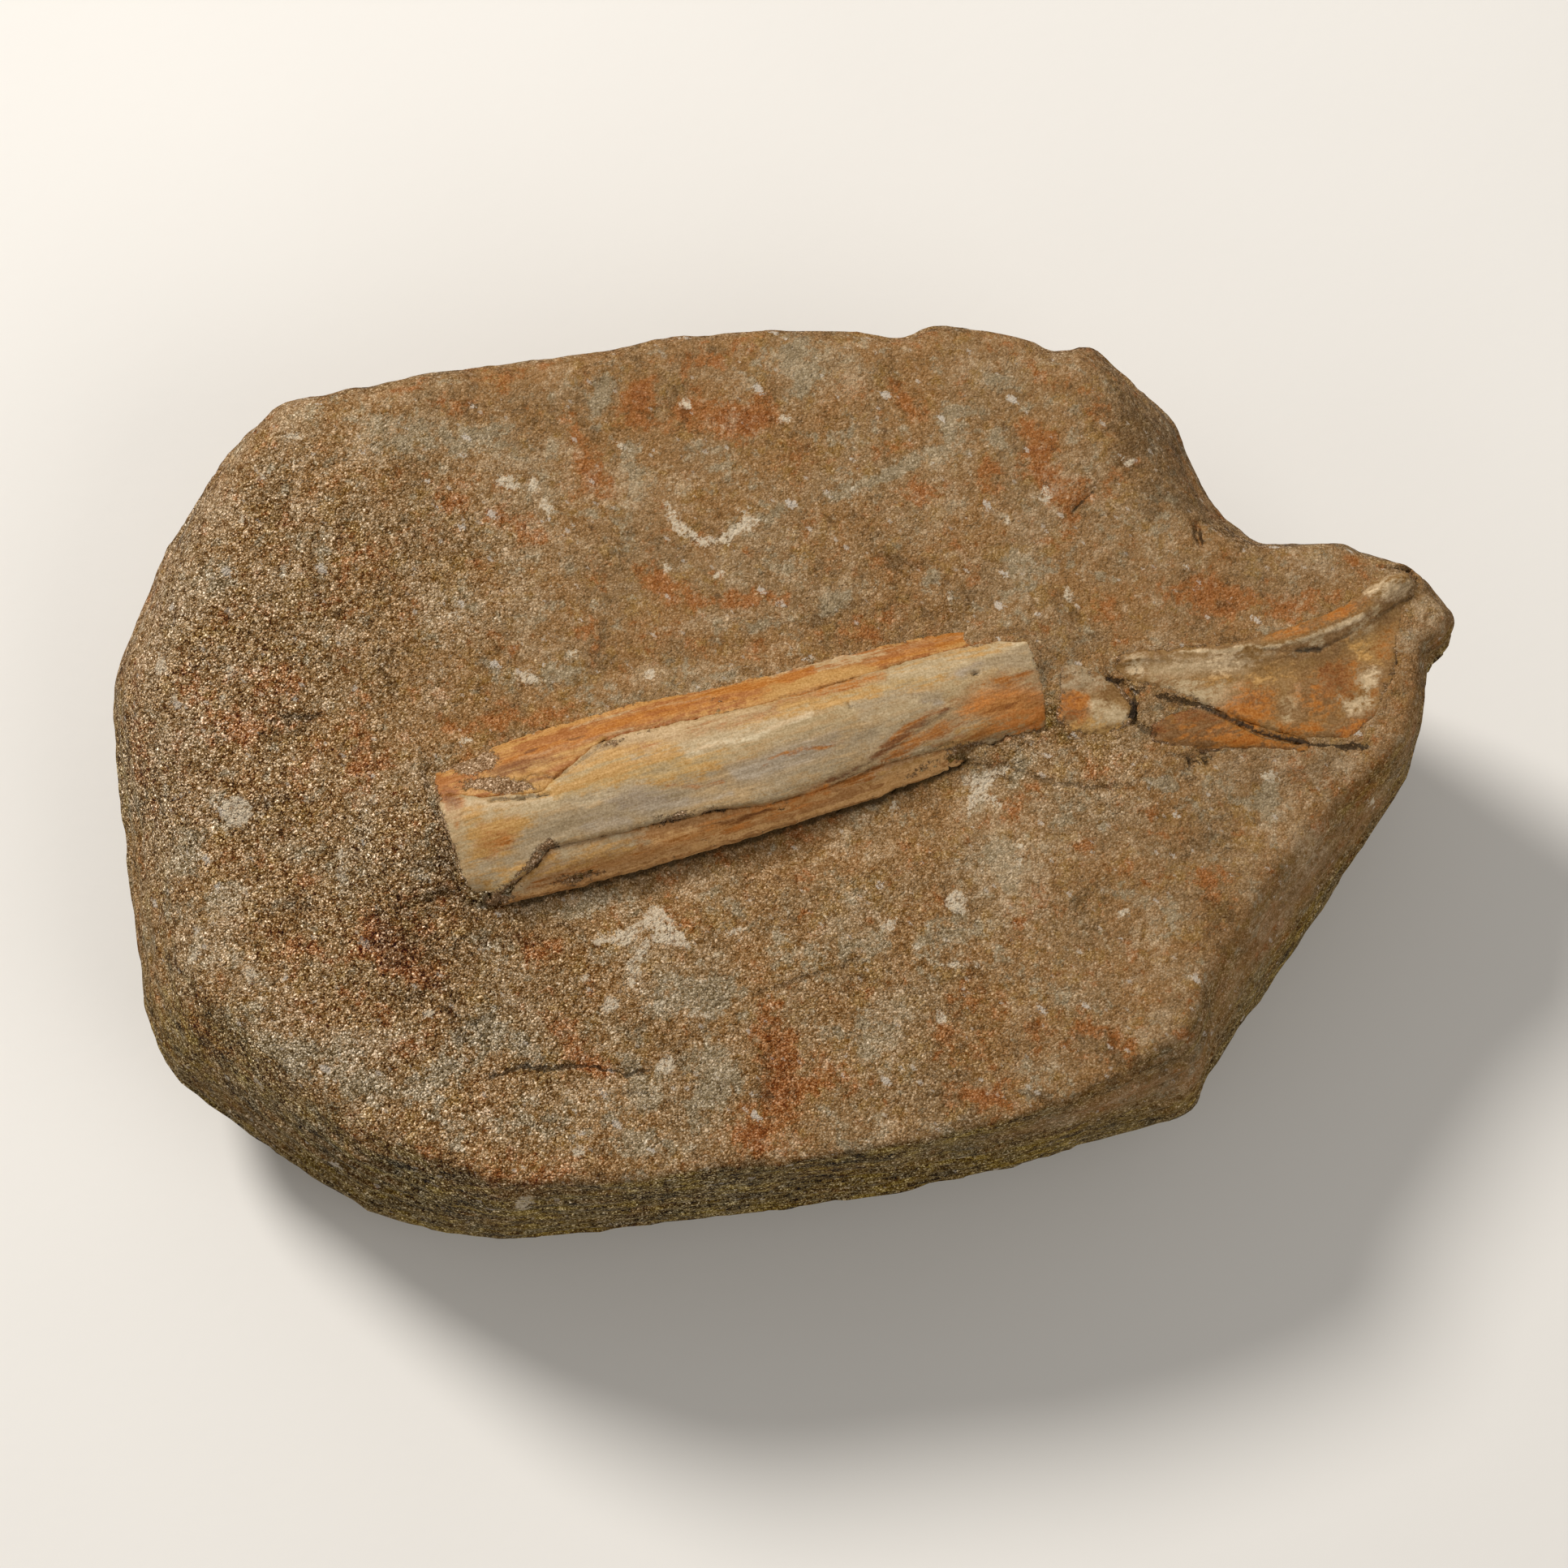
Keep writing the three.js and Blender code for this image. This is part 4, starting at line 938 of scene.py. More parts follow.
def block_relief(points, normals):
    """Unevenness of the stone's surface, in millimetres along its normals."""
    up = ramp(normals[:, 2], 0.35, 0.8)
    coarse = coarse_share(points)
    lumps = 0.16 * layered_noise(points, 6.0, seed=3, layers=2)
    grain = (0.05 + 0.05 * coarse) * layered_noise(points, 1.3, seed=9, layers=2)
    pits = -0.25 * coarse * ramp(noise(points, 1.1, seed=21), 0.45, 0.9)
    tilted = points[:, 2] + BED_SLOPE * points[:, 0] + 1.2 * noise(points, 14.0, seed=33)
    bed = tilted / BED_THICKNESS
    ledge = ramp(bed - np.floor(bed), 0.1, 0.9) - 0.5
    beds = 0.30 * ledge * ramp(noise(points, 10.0, seed=44), -0.4, 0.5)
    chips = 0.17 * layered_noise(points, 2.6, seed=51, layers=3)
    return up * (lumps + grain + pits) + (1 - up) * (beds + chips)


def near_edge_shadow_share(points, seating):
    """Painted shadow: 1 on the stone right beside the shaft's near edge, fading to 0 within a millimetre."""
    share = np.zeros(len(points))
    sand = sand_cover(points)
    for index in np.nonzero(points[:, 2] > SEAT_LEVEL)[0]:
        x, y, _ = points[index]
        gap = seating.gap(x, y)
        if gap < NEAR_EDGE_SHADOW_REACH and not (gap < RING_REACH and seating.enclosed(x, y)):
            share[index] = (1 - banked(x, y)) * (1 - gap / NEAR_EDGE_SHADOW_REACH) * (1 - sand[index])
    return share


def block_attributes(mesh, seating):
    points = points_of(mesh)
    normals = normals_of(mesh)
    # painted shadow under the shaft's near edge
    set_attribute(mesh, "near_edge_shadow", near_edge_shadow_share(points, seating))
    moved = wandering(points, 2.6, 0.75, seed=61)
    rust = patches(moved, RUST_PATCHES) - patches(moved, GREY_PATCHES)
    painted_light_and_tone = patches(moved, LIT_AND_PALE_PATCHES) - patches(moved, SHADED_AND_DARK_PATCHES)
    # painted light and painted shade of the patches above, with some of the stone's own tone
    set_attribute(mesh, "rust", rust)
    set_attribute(mesh, "painted_light_and_tone", painted_light_and_tone)
    fine = wandering(points, 0.9, 0.12, seed=71)
    set_attribute(mesh, "mark", mark_edge(fine))
    crack_attributes(mesh, crack_places(points))
    set_attribute(mesh, "coarse", coarse_share(points))
    # flank: the steep sides, which get painted shade (none where the pale sides lie), stronger grain and
    # bedding streaks
    tilt = normals[:, 2] + 0.16 * layered_noise(points, 7.0, seed=141)
    pale = patches(points, PALE_SIDES)
    set_attribute(mesh, "flank", (1 - ramp(tilt, 0.15, 0.95)) * np.clip(1 - pale, 0, 1))
    # the sides that face the front, away from the lamp, get a darker olive painted shade
    set_attribute(mesh, "shaded_front", ramp(-normals[:, 1], -0.3, 0.4))


def smooth_banks(block, seating):
    """Evens out the stone round the bones, but not what lies under them."""
    group = block.vertex_groups.new(name="banks")
    near = []
    for index, (x, y, z) in enumerate(points_of(block.data)):
        if z > SEAT_LEVEL and ON_BONE < seating.gap(x, y) < 2 * BANK_REACH:
            near.append(index)
    group.add(near, 1.0, "REPLACE")
    smooth(block, BANK_TURNS)
    block.modifiers["smooth"].vertex_group = "banks"
    apply_modifiers(block)
    block.vertex_groups.clear()


def make_block(seating):
    """The block's solid, with its seats filled, seated to the finished bones and given its relief."""
    block = add_object("sandstone_block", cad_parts["matrix"].data.copy())
    remesh(block, BLOCK_VOXEL)
    apply_modifiers(block)
    set_points(block.data, fill_seats(points_of(block.data), seating))
    remesh(block, BLOCK_VOXEL)
    smooth(block, BLOCK_TURNS)
    apply_modifiers(block)
    mesh = block.data
    set_points(mesh, seat_bones(points_of(mesh), normals_of(mesh), seating))
    smooth_banks(block, seating)
    mesh = block.data
    points = points_of(mesh)
    normals = normals_of(mesh)
    points += normals * block_relief(points, normals)[:, None]
    points -= normals * crack_depth(crack_places(points), BLOCK_VOXEL)[:, None]
    set_points(mesh, points)
    thin_out(block, normals)  # which may move an edge out a little
    set_points(block.data, within_box(points_of(block.data)))
    block_attributes(block.data, seating)
    return block


def thin_out(block, normals):
    """Larger triangles on the sides and the underside."""
    count = len(block.data.polygons) * 2
    group = block.vertex_groups.new(name="sides")
    weight = 1 - ramp(normals[:, 2], 0.0, 0.5)
    for level in range(1, WEIGHT_LEVELS + 1):
        chosen = np.nonzero(np.ceil(weight * WEIGHT_LEVELS).astype(int) == level)[0]
        group.add([int(index) for index in chosen], level / WEIGHT_LEVELS, "REPLACE")
    modifier = block.modifiers.new("decimate", "DECIMATE")
    modifier.ratio = BLOCK_TRIANGLES / count
    modifier.vertex_group = "sides"
    modifier.vertex_group_factor = SIDE_FACTOR
    apply_modifiers(block)


# ------------------------------------------------------------------ the bones

BONE_VOXEL = 0.21
BONE_TURNS = 2
GROWTH = 0.25  # of the bones' sides, which narrows the cracks between them
NEAR_LIFT = 0.8  # of the shaft's near side, which lies flatter than the rest of it
LIFT_ACROSS = (2.5, 7.0)  # from where to where across the shaft the lift comes in
TOP_STEP = 0.5  # between the samples of a bone's faceted top
TOP_SHIFT = 0.5  # how far a top may move at most
TOP_DEPTH = (-2.0, -0.4)  # below its top, from where to where a bone moves with it
BARE_EDGE = 0.55  # how much narrower the rim of sand is on the shaft's near side
SHAFT_STRETCH = 6  # how much longer than wide the shaft's streaks are
CREST_HEIGHT = 0.06
CREST_WIDTH = 0.4
# The raised rim of the flared end, as a line.
FLARE_CREST = [
    (1385, 818), (1400, 811), (1450, 806), (1500, 801), (1545, 796), (1600, 788), (1640, 775), (1680, 757),
    (1710, 740), (1735, 722),
]


def smooth_basis(plan, middle, half, powers):
    """The terms of a polynomial in two directions, one column each."""
    part = (plan - middle) / half
    firsts, seconds = (range(power + 1) for power in powers)
    terms = [part[:, 0] ** i * part[:, 1] ** j for i in firsts for j in seconds]
    return np.stack(terms, axis=1)


def smoothed_top(node, points, powers):
    """How far the faceted top of a bone moves at each point to become one smooth surface."""
    tree = surface_tree([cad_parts[node].data])
    low, high = (np.array(corner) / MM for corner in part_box(node))
    samples = []
    for x in np.arange(low[0], high[0], TOP_STEP):
        for y in np.arange(low[1], high[1], TOP_STEP):
            height = height_below(tree, x, y)
            if height is not None:
                samples.append((x, y, height))
    samples = np.array(samples)
    plan = along_and_across(samples)
    middle = (plan.min(0) + plan.max(0)) / 2
    half = (plan.max(0) - plan.min(0)) / 2
    fit = np.linalg.lstsq(smooth_basis(plan, middle, half, powers), samples[:, 2], rcond=None)[0]
    place = np.clip(along_and_across(points), middle - half, middle + half)
    wanted = smooth_basis(place, middle, half, powers) @ fit
    faceted = np.empty(len(points))
    for index, (x, y, _) in enumerate(points):
        height = height_below(tree, x, y)
        faceted[index] = wanted[index] if height is None else height
    shift = np.clip(wanted - faceted, -TOP_SHIFT, TOP_SHIFT)
    if "shaft" in node:
        shift += NEAR_LIFT * ramp(-along_and_across(points)[:, 1], *LIFT_ACROSS)
    return shift * ramp(points[:, 2] - faceted, *TOP_DEPTH)


def shaft_relief(points, top):
    along = along_and_across(points)
    stretched = np.column_stack([along[:, 0] / SHAFT_STRETCH, along[:, 1], points[:, 2]])
    return top * (0.05 * layered_noise(stretched, 1.2, seed=91) + 0.04 * noise(points, 3.0, seed=92))


def flare_relief(points, top):
    crest = line_distance(points * [1, 1, 0], [place * [1, 1, 0] for place in placed(FLARE_CREST)])
    ridge = CREST_HEIGHT * np.exp(-(crest / CREST_WIDTH) ** 2)
    return top * (0.10 * layered_noise(points, 2.2, seed=95) + ridge)


def plate_relief(points, top):
    return top * (0.16 * layered_noise(points, 2.0, seed=97, layers=3))


def ragged_sides(points, normals):
    """Broken edges: the upright faces go in and out a little."""
    upright = 1 - ramp(np.abs(normals[:, 2]), 0.3, 0.8)
    amount = 0.16 * layered_noise(points * [1, 1, 0.3], 1.4, seed=101, layers=3)
    return normals * [1, 1, 0] * (upright * amount)[:, None]


def bone_attributes(mesh):
    points = points_of(mesh)
    moved = wandering(points, 2.2, 0.22, seed=111)
    moved = wandering(moved, 0.8, 0.08, seed=117)
    for layer in BONE_AREAS:
        inside = areas(moved, BONE_AREAS[layer])
        set_attribute(mesh, layer, np.maximum(inside, strokes(moved, BONE_LINES.get(layer, []))))
    crack_attributes(mesh, crack_places(points))
    set_attribute(mesh, "sand", patches(wandering(points, 1.2, 0.25, seed=131), SAND_PATCHES))


def edge_attribute(mesh, seating):
    """Distance of the bone's surface to the nearest stone in plan, and more where no sand lies."""
    depths = [seating.depth(x, y) + BARE_EDGE * (1 - banked(x, y)) for x, y, _ in points_of(mesh)]
    set_attribute(mesh, "edge", np.array(depths))


def make_bone(node, name, powers, relief):
    """A bone's solid, with a smooth top, broken edges, fine relief and its cracks."""
    bone = add_object(name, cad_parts[node].data.copy())
    bone.data.materials.clear()
    remesh(bone, BONE_VOXEL)
    smooth(bone, BONE_TURNS)
    apply_modifiers(bone)
    mesh = bone.data
    points = points_of(mesh)
    normals = normals_of(mesh)
    points[:, 2] += smoothed_top(node, points, powers)
    points += ragged_sides(points, normals)
    set_points(mesh, points)
    normals = normals_of(mesh)
    top = ramp(normals[:, 2], 0.2, 0.6)
    points += normals * relief(points, top)[:, None]
    points += normals * [1, 1, 0] * (GROWTH * (1 - top))[:, None]
    points -= normals * (top * crack_depth(crack_places(points), BONE_VOXEL))[:, None]
    set_points(mesh, within_box(points))
    bone_attributes(mesh)
    return bone


# ------------------------------------------------------------------ material helpers

GAMMA = 2.2
DARKEST = 0.05  # of a colour's channels as the screen shows them, once grains have darkened it


class Nodes:
    """A material's node tree, with a short call for each kind of node used here."""

    def __init__(self, name):
        self.material = bpy.data.materials.new(name)
        self.material.use_nodes = True
        self.tree = self.material.node_tree
        self.tree.nodes.clear()

    def add(self, kind, **settings):
        node = self.tree.nodes.new(kind)
        for key, value in settings.items():
            setattr(node, key, value)
        return node

    def put(self, socket, value):
        if isinstance(value, bpy.types.NodeSocket):
            self.tree.links.new(value, socket)
        elif isinstance(value, (tuple, list)) and len(value) == 3 and socket.type == "RGBA":
            socket.default_value = (*value, 1.0)
        else:
            socket.default_value = value

    def attribute(self, name):
        return self.add("ShaderNodeAttribute", attribute_name=name).outputs["Fac"]

    def math(self, operation, first, second=0.0, third=0.0):
        node = self.add("ShaderNodeMath", operation=operation)
        for socket, value in zip(node.inputs, (first, second, third)):
            self.put(socket, value)
        return node.outputs[0]

    def times(self, first, second):
        return self.math("MULTIPLY", first, second)

    def rise(self, value, low, high):
        """From 0 at low to 1 at high."""
        node = self.add("ShaderNodeMapRange", interpolation_type="SMOOTHSTEP")
        for key, wanted in (("Value", value), ("From Min", low), ("From Max", high)):
            self.put(node.inputs[key], wanted)
        return node.outputs["Result"]

    def mix(self, amount, first, second):
        node = self.add("ShaderNodeMix", data_type="RGBA")
        node.clamp_factor = True
        self.put(node.inputs[0], amount)
        self.put(node.inputs[6], first)
        self.put(node.inputs[7], second)
        return node.outputs[2]

    def cover(self, colour, over, amount, most):
        """The colour with another laid over it by that amount, and by most where the amount is 1."""
        return self.mix(self.times(amount, most), colour, over)

    def noise(self, place, size, detail=2.0, rough=0.5):
        node = self.add("ShaderNodeTexNoise")
        self.put(node.inputs["Vector"], place)
        node.inputs["Scale"].default_value = 1 / (size * MM)
        node.inputs["Detail"].default_value = detail
        node.inputs["Roughness"].default_value = rough
        return node.outputs["Fac"]

    def wave(self, place, size, gain, detail=3.0, rough=0.6):
        """Noise round zero; most of it lies within a tenth of the gain."""
        return self.math("MULTIPLY_ADD", self.noise(place, size, detail, rough), gain, -gain / 2)

    def sum(self, *values):
        total = values[0]
        for value in values[1:]:
            total = self.math("ADD", total, value)
        return total

    def cells(self, place, size):
        node = self.add("ShaderNodeTexVoronoi")
        self.put(node.inputs["Vector"], place)
        node.inputs["Scale"].default_value = 1 / (size * MM)
        return node

    def place(self):
        return self.add("ShaderNodeTexCoord").outputs["Object"]

    def stretched(self, place, turn, stretch):
        node = self.add("ShaderNodeMapping", vector_type="TEXTURE")
        self.put(node.inputs["Vector"], place)
        node.inputs["Rotation"].default_value = (0, 0, turn)
        node.inputs["Scale"].default_value = stretch
        return node.outputs["Vector"]

    def parts(self, colour):
        node = self.add("ShaderNodeSeparateColor")
        self.put(node.inputs[0], colour)
        return node.outputs

    def brighter(self, colour, step):
        """The colour with the same step added to each of its channels as the screen shows them."""
        shown = self.add("ShaderNodeGamma")
        self.put(shown.inputs[0], colour)
        shown.inputs[1].default_value = 1 / GAMMA
        moved = self.add("ShaderNodeVectorMath", operation="ADD")
        self.put(moved.inputs[0], shown.outputs[0])
        self.put(moved.inputs[1], step)
        kept = self.add("ShaderNodeVectorMath", operation="MAXIMUM")
        self.put(kept.inputs[0], moved.outputs[0])
        kept.inputs[1].default_value = (DARKEST,) * 3
        linear = self.add("ShaderNodeGamma")
        self.put(linear.inputs[0], kept.outputs[0])
        linear.inputs[1].default_value = GAMMA
        return linear.outputs[0]

    def crack(self, ragged):
        """1 in a wide crack, less in a thin one and 0 beside them, for an uneven edge in millimetres."""
        width = self.attribute("crack_width")
        side = self.math("ABSOLUTE", self.attribute("crack_side"))
        edge = self.math("SUBTRACT", self.sum(side, ragged), width)
        near = self.rise(self.attribute("crack_gap"), 0.8, 0.5)
        share = self.math("MULTIPLY_ADD", self.rise(width, 0.12, 0.30), 0.70, 0.30)
        return self.times(self.times(self.rise(edge, 0.14, -0.10), near), share)

    def warped(self, place, size, reach):
        """The places moved about by noise of that size."""
        node = self.add("ShaderNodeTexNoise")
        self.put(node.inputs["Vector"], place)
        node.inputs["Scale"].default_value = 1 / (size * MM)
        shift = self.add("ShaderNodeVectorMath", operation="MULTIPLY_ADD")
        self.put(shift.inputs[0], node.outputs["Color"])
        shift.inputs[1].default_value = (2 * reach * MM,) * 3
        self.put(shift.inputs[2], place)
        return shift.outputs[0]

    def bump(self, height, depth, below=None):
        node = self.add("ShaderNodeBump")
        node.inputs["Strength"].default_value = 1.0
        node.inputs["Distance"].default_value = depth * MM
        self.put(node.inputs["Height"], height)
        if below is not None:
            self.put(node.inputs["Normal"], below)
        return node.outputs["Normal"]

    def finish(self, colour, roughness, normal, specular):
        shader = self.add("ShaderNodeBsdfPrincipled")
        self.put(shader.inputs["Base Color"], colour)
        self.put(shader.inputs["Roughness"], roughness)
        self.put(shader.inputs["Normal"], normal)
        shader.inputs["Specular IOR Level"].default_value = specular
        output = self.add("ShaderNodeOutputMaterial")
        self.tree.links.new(shader.outputs[0], output.inputs[0])
        return self.material


LIGHT_MATCH = 0.83  # the light makes a surface look brighter than its own colour by this


def screen(red, green, blue):
    """The linear colour of screen values from 0 to 255."""
    parts = [value / 255 for value in (red, green, blue)]
    return tuple(p / 12.92 if p <= 0.04045 else ((p + 0.055) / 1.055) ** 2.4 for p in parts)


def seen(red, green, blue):
    """The colour of a surface that looks like these screen values in this light."""
    return tuple(part * LIGHT_MATCH for part in screen(red, green, blue))


# ------------------------------------------------------------------ the two finishes

STONE_BASE = seen(145, 114, 77)
STONE_WARM = seen(149, 110, 67)
STONE_OCHRE = seen(150, 114, 58)
STONE_RUST = seen(156, 99, 50)
STONE_DARK_RUST = seen(140, 83, 40)
STONE_GREY = seen(154, 136, 106)
# colours of the face's painted shade and painted light, which also darken and lighten its own tone
STONE_SHADED_AND_DARK = seen(88, 66, 38)
STONE_LIT_AND_PALE = seen(190, 162, 126)
# painted shade of the steep sides: darkest and olive on the front ones that face away from the lamp, browner
# behind, and the bedding streaks on them shaded alike
STONE_SHADED_FRONT = seen(92, 75, 6)
STONE_SHADED_FRONT_BEDDING = seen(148, 120, 42)
STONE_SHADED_SIDE = seen(112, 86, 54)
STONE_SHADED_SIDE_BEDDING = seen(158, 128, 84)
WHITE_MARK = seen(217, 199, 171)
WHITE_FLECK = seen(206, 192, 174)
DARK_SPECK = seen(92, 66, 40)
# painted shadow on the stone under the shaft's near edge
NEAR_EDGE_SHADOW = seen(62, 46, 20)
CRACK_DARK = seen(40, 29, 14)
GRAIN_SIZE = 0.24
FLECK_TURN = 0.9
FLECK_STRETCH = (1.0, 1.7, 1.0)
# Scattered specks: the size of their cells, the chance that a cell has none, how much they cover, colour.
FLECKS = [
    (1.1, 0.90, 0.55, DARK_SPECK), (0.6, 0.90, 0.40, WHITE_FLECK),
    (0.8, 0.88, 0.60, WHITE_FLECK), (1.5, 0.90, 0.80, WHITE_FLECK),
]


def stone_colour(nodes, place):
    """The stone's colour before grains, cracks and marks, with its painted light and painted shade."""
    colour = nodes.mix(nodes.rise(nodes.noise(place, 7.0, 4.0, 0.6), 0.35, 0.65), STONE_BASE, STONE_WARM)
    ochre = nodes.rise(nodes.wave(place, 2.4, 4.0, 4.0, 0.75), 0.05, 0.6)
    warmer = nodes.times(nodes.attribute("coarse"), 0.4)
    colour = nodes.cover(colour, STONE_OCHRE, nodes.sum(ochre, warmer), 0.6)
    speckled = nodes.wave(place, 1.3, 3.0, 4.0, 0.75)
    cloudy = nodes.wave(place, 4.5, 3.8, 4.0, 0.7)
    rust = nodes.sum(nodes.times(nodes.attribute("rust"), 1.1), speckled, cloudy)
    colour = nodes.cover(colour, STONE_GREY, nodes.rise(rust, -0.15, -0.75), 0.85)
    colour = nodes.cover(colour, STONE_RUST, nodes.rise(rust, 0.20, 0.90), 0.9)
    colour = nodes.cover(colour, STONE_DARK_RUST, nodes.rise(rust, 0.85, 1.6), 0.7)
    # painted light and painted shade from the patches, with random mottling of the stone's own tone
    mottled = nodes.wave(place, 1.0, 3.6, 4.0, 0.75)
    painted_light_and_tone = nodes.sum(nodes.attribute("painted_light_and_tone"), mottled, nodes.wave(place, 6.0, 3.0), 0.04)
    colour = nodes.cover(colour, STONE_LIT_AND_PALE, nodes.rise(painted_light_and_tone, 0.1, 0.9), 0.55)
    return nodes.cover(colour, STONE_SHADED_AND_DARK, nodes.rise(painted_light_and_tone, -0.1, -0.9), 0.6)


def steep_sides(nodes, place, colour):
    """The steep sides' painted shade, olive in front and brown behind, with their fine level streaks."""
    level = nodes.stretched(place, 0.0, (5.0, 5.0, 1.0))
    streaks = nodes.sum(nodes.wave(level, 1.4, 7.0, 5.0, 0.75), nodes.wave(place, 2.0, 5.0, 4.0, 0.7))
    flank = nodes.attribute("flank")
    shaded_front = nodes.attribute("shaded_front")
    side = nodes.mix(shaded_front, STONE_SHADED_SIDE, STONE_SHADED_FRONT)
    bedding = nodes.mix(shaded_front, STONE_SHADED_SIDE_BEDDING, STONE_SHADED_FRONT_BEDDING)
    # painted shade on the steep sides, and on their bedding streaks
    colour = nodes.cover(colour, side, flank, 0.72)
    colour = nodes.cover(colour, bedding, nodes.rise(streaks, 0.15, 0.9), nodes.times(flank, 0.7))
    return nodes.cover(colour, CRACK_DARK, nodes.rise(streaks, -0.15, -0.9), nodes.times(flank, 0.6))


def white_marks(nodes, place, colour):
    """The marks that stand at named places, with uneven edges."""
    ragged = nodes.wave(place, 0.7, 2.6, 5.0, 0.8)
    edge = nodes.sum(nodes.attribute("mark"), ragged)
    worn = nodes.times(nodes.rise(nodes.wave(place, 0.5, 2.6, 4.0, 0.7), -0.45, 0.15), 0.92)
    return nodes.cover(colour, WHITE_MARK, nodes.rise(edge, 0.14, -0.14), worn)


def flecks(nodes, place, colour):
    """Scattered white flecks up to a millimetre long, and dark specks, in a few sizes."""
    drawn = nodes.stretched(place, FLECK_TURN, FLECK_STRETCH)
    for size, chance, most, fleck in FLECKS:
        cell = nodes.cells(drawn, size)
        tint = nodes.parts(cell.outputs["Color"])
        chosen = nodes.rise(tint[0], chance, chance + 0.02)
        reach = nodes.math("MULTIPLY_ADD", tint[1], 0.22, 0.06)
        ragged = nodes.wave(place, 0.3 * size, 1.0, 3.0, 0.8)
        inside = nodes.math("SUBTRACT", nodes.sum(reach, ragged), cell.outputs["Distance"])
        colour = nodes.cover(colour, fleck, nodes.times(chosen, nodes.rise(inside, -0.05, 0.08)), most)
    return colour


def grains(nodes, place, colour, strength):
    """A colour with sand grains, lighter and darker by one step in every channel, and the grains' cells."""
    cell = nodes.cells(nodes.warped(place, 0.5, 0.16), GRAIN_SIZE)
    tint = nodes.parts(cell.outputs["Color"])
    plain = nodes.math("MULTIPLY_ADD", tint[0], 1.2, -0.6)
    worms = nodes.math("ABSOLUTE", nodes.wave(place, 0.27, 9.0, 1.0, 0.5))
    glints = nodes.rise(tint[1], 0.85, 1.0)
    step = nodes.sum(plain, worms, nodes.wave(place, 0.8, 2.0), glints, -0.68)
    return nodes.brighter(colour, nodes.times(step, strength)), cell.outputs["Distance"]


def sandstone():
    nodes = Nodes("sandstone")
    place = nodes.place()
    coarse = nodes.attribute("coarse")
    strength = nodes.sum(nodes.times(coarse, 0.20), nodes.times(nodes.attribute("flank"), 0.12), 0.06)
    colour = steep_sides(nodes, place, stone_colour(nodes, place))
    colour, grain = grains(nodes, place, colour, strength)
    colour = white_marks(nodes, place, flecks(nodes, place, colour))
    # painted shadow along the shaft's near edge
    near_edge_shadow = nodes.sum(nodes.attribute("near_edge_shadow"), nodes.wave(place, 0.8, 1.2))
    colour = nodes.cover(colour, NEAR_EDGE_SHADOW, nodes.rise(near_edge_shadow, 0.25, 0.70), 0.85)
    crack = nodes.crack(nodes.wave(place, 0.6, 1.5, 4.0, 0.75))
    colour = nodes.cover(colour, CRACK_DARK, crack, 0.85)
    lumps = nodes.bump(nodes.noise(place, 1.1, 5.0, 0.7), 0.55, nodes.bump(crack, -0.25))
    grainy = nodes.times(grain, nodes.math("MULTIPLY_ADD", coarse, 1.2, 0.4))
    roughness = nodes.math("MULTIPLY_ADD", nodes.noise(place, 0.4), 0.2, 0.78)
    return nodes.finish(colour, roughness, nodes.bump(grainy, -0.2, lumps), 0.12)


BONE_SAND = seen(150, 116, 80)
BONE_OLIVE = seen(92, 72, 42)
# Layers of colour in the order in which they cover one another: attribute, two tints and the most they cover.
BONE_LAYERS = [
    ("ochre", seen(192, 154, 94), seen(178, 132, 68), 0.9),
    # the grey and violet are lighter than the bone's own tints, painted light for the shade on the shaft's
    # near half
    ("grey", seen(172, 150, 118), seen(160, 137, 104), 0.9),
    ("violet", seen(158, 138, 116), seen(160, 142, 118), 0.9),
    # cream: partly painted light, on the lower splinter and below the flared end's crest
    ("cream", seen(194, 170, 132), seen(182, 153, 110), 0.9),
    # white: pale bone, painted highlights on the shaft's crown and the flared end's crest, and painted light
    # below that crest
    ("white", seen(214, 194, 158), seen(192, 164, 124), 0.95),
    ("orange", seen(180, 114, 46), seen(154, 86, 28), 0.95),
    # amber: the orange brightened for bone in shade, painted light
    ("amber", seen(222, 148, 66), seen(202, 122, 44), 0.95),
    ("rust", seen(134, 86, 42), seen(108, 68, 30), 0.9),
]


def bone_colour(nodes, place, drawn, first, second):
    """The bone's mottled colours, drawn out along the piece."""
    streaks = nodes.wave(drawn, 0.45, 3.0, 4.0, 0.7)
    clouds = nodes.wave(drawn, 2.0, 3.2, 4.0, 0.6)
    uneven = nodes.sum(streaks, clouds, nodes.wave(place, 1.1, 1.8, 4.0, 0.7))
    mottle = nodes.rise(uneven, -0.28, 0.28)
    colour = nodes.mix(mottle, first, second)
    for name, light, deep, most in BONE_LAYERS:
        wanted = nodes.attribute(name)
        amount = nodes.rise(nodes.sum(wanted, nodes.times(uneven, 1.1)), -0.05, 1.2)
        amount = nodes.times(amount, nodes.rise(wanted, 0.0, 0.45))
        colour = nodes.cover(colour, nodes.mix(mottle, light, deep), amount, most)
        uneven = nodes.times(uneven, -1.0)  # the next layer is thick where this one is thin
    return nodes.brighter(colour, nodes.sum(nodes.times(streaks, 0.12), nodes.times(clouds, 0.08)))


def sand_share(nodes, place):
    """How much sand covers the bone: its patches and the rim beside the stone, but not on pale bone or
    painted highlights.
    """
    left = nodes.math("MULTIPLY_ADD", nodes.attribute("sand"), 1.5, -0.5)
    rim = nodes.math("MULTIPLY_ADD", nodes.attribute("edge"), -1.3, 1.0)
    bare_rim = nodes.math("SUBTRACT", rim, nodes.attribute("white"))
    ragged = nodes.wave(place, 0.6, 3.0, 4.0, 0.8)
    return nodes.rise(nodes.sum(nodes.math("MAXIMUM", left, bare_rim), ragged), 0.3, 0.8)


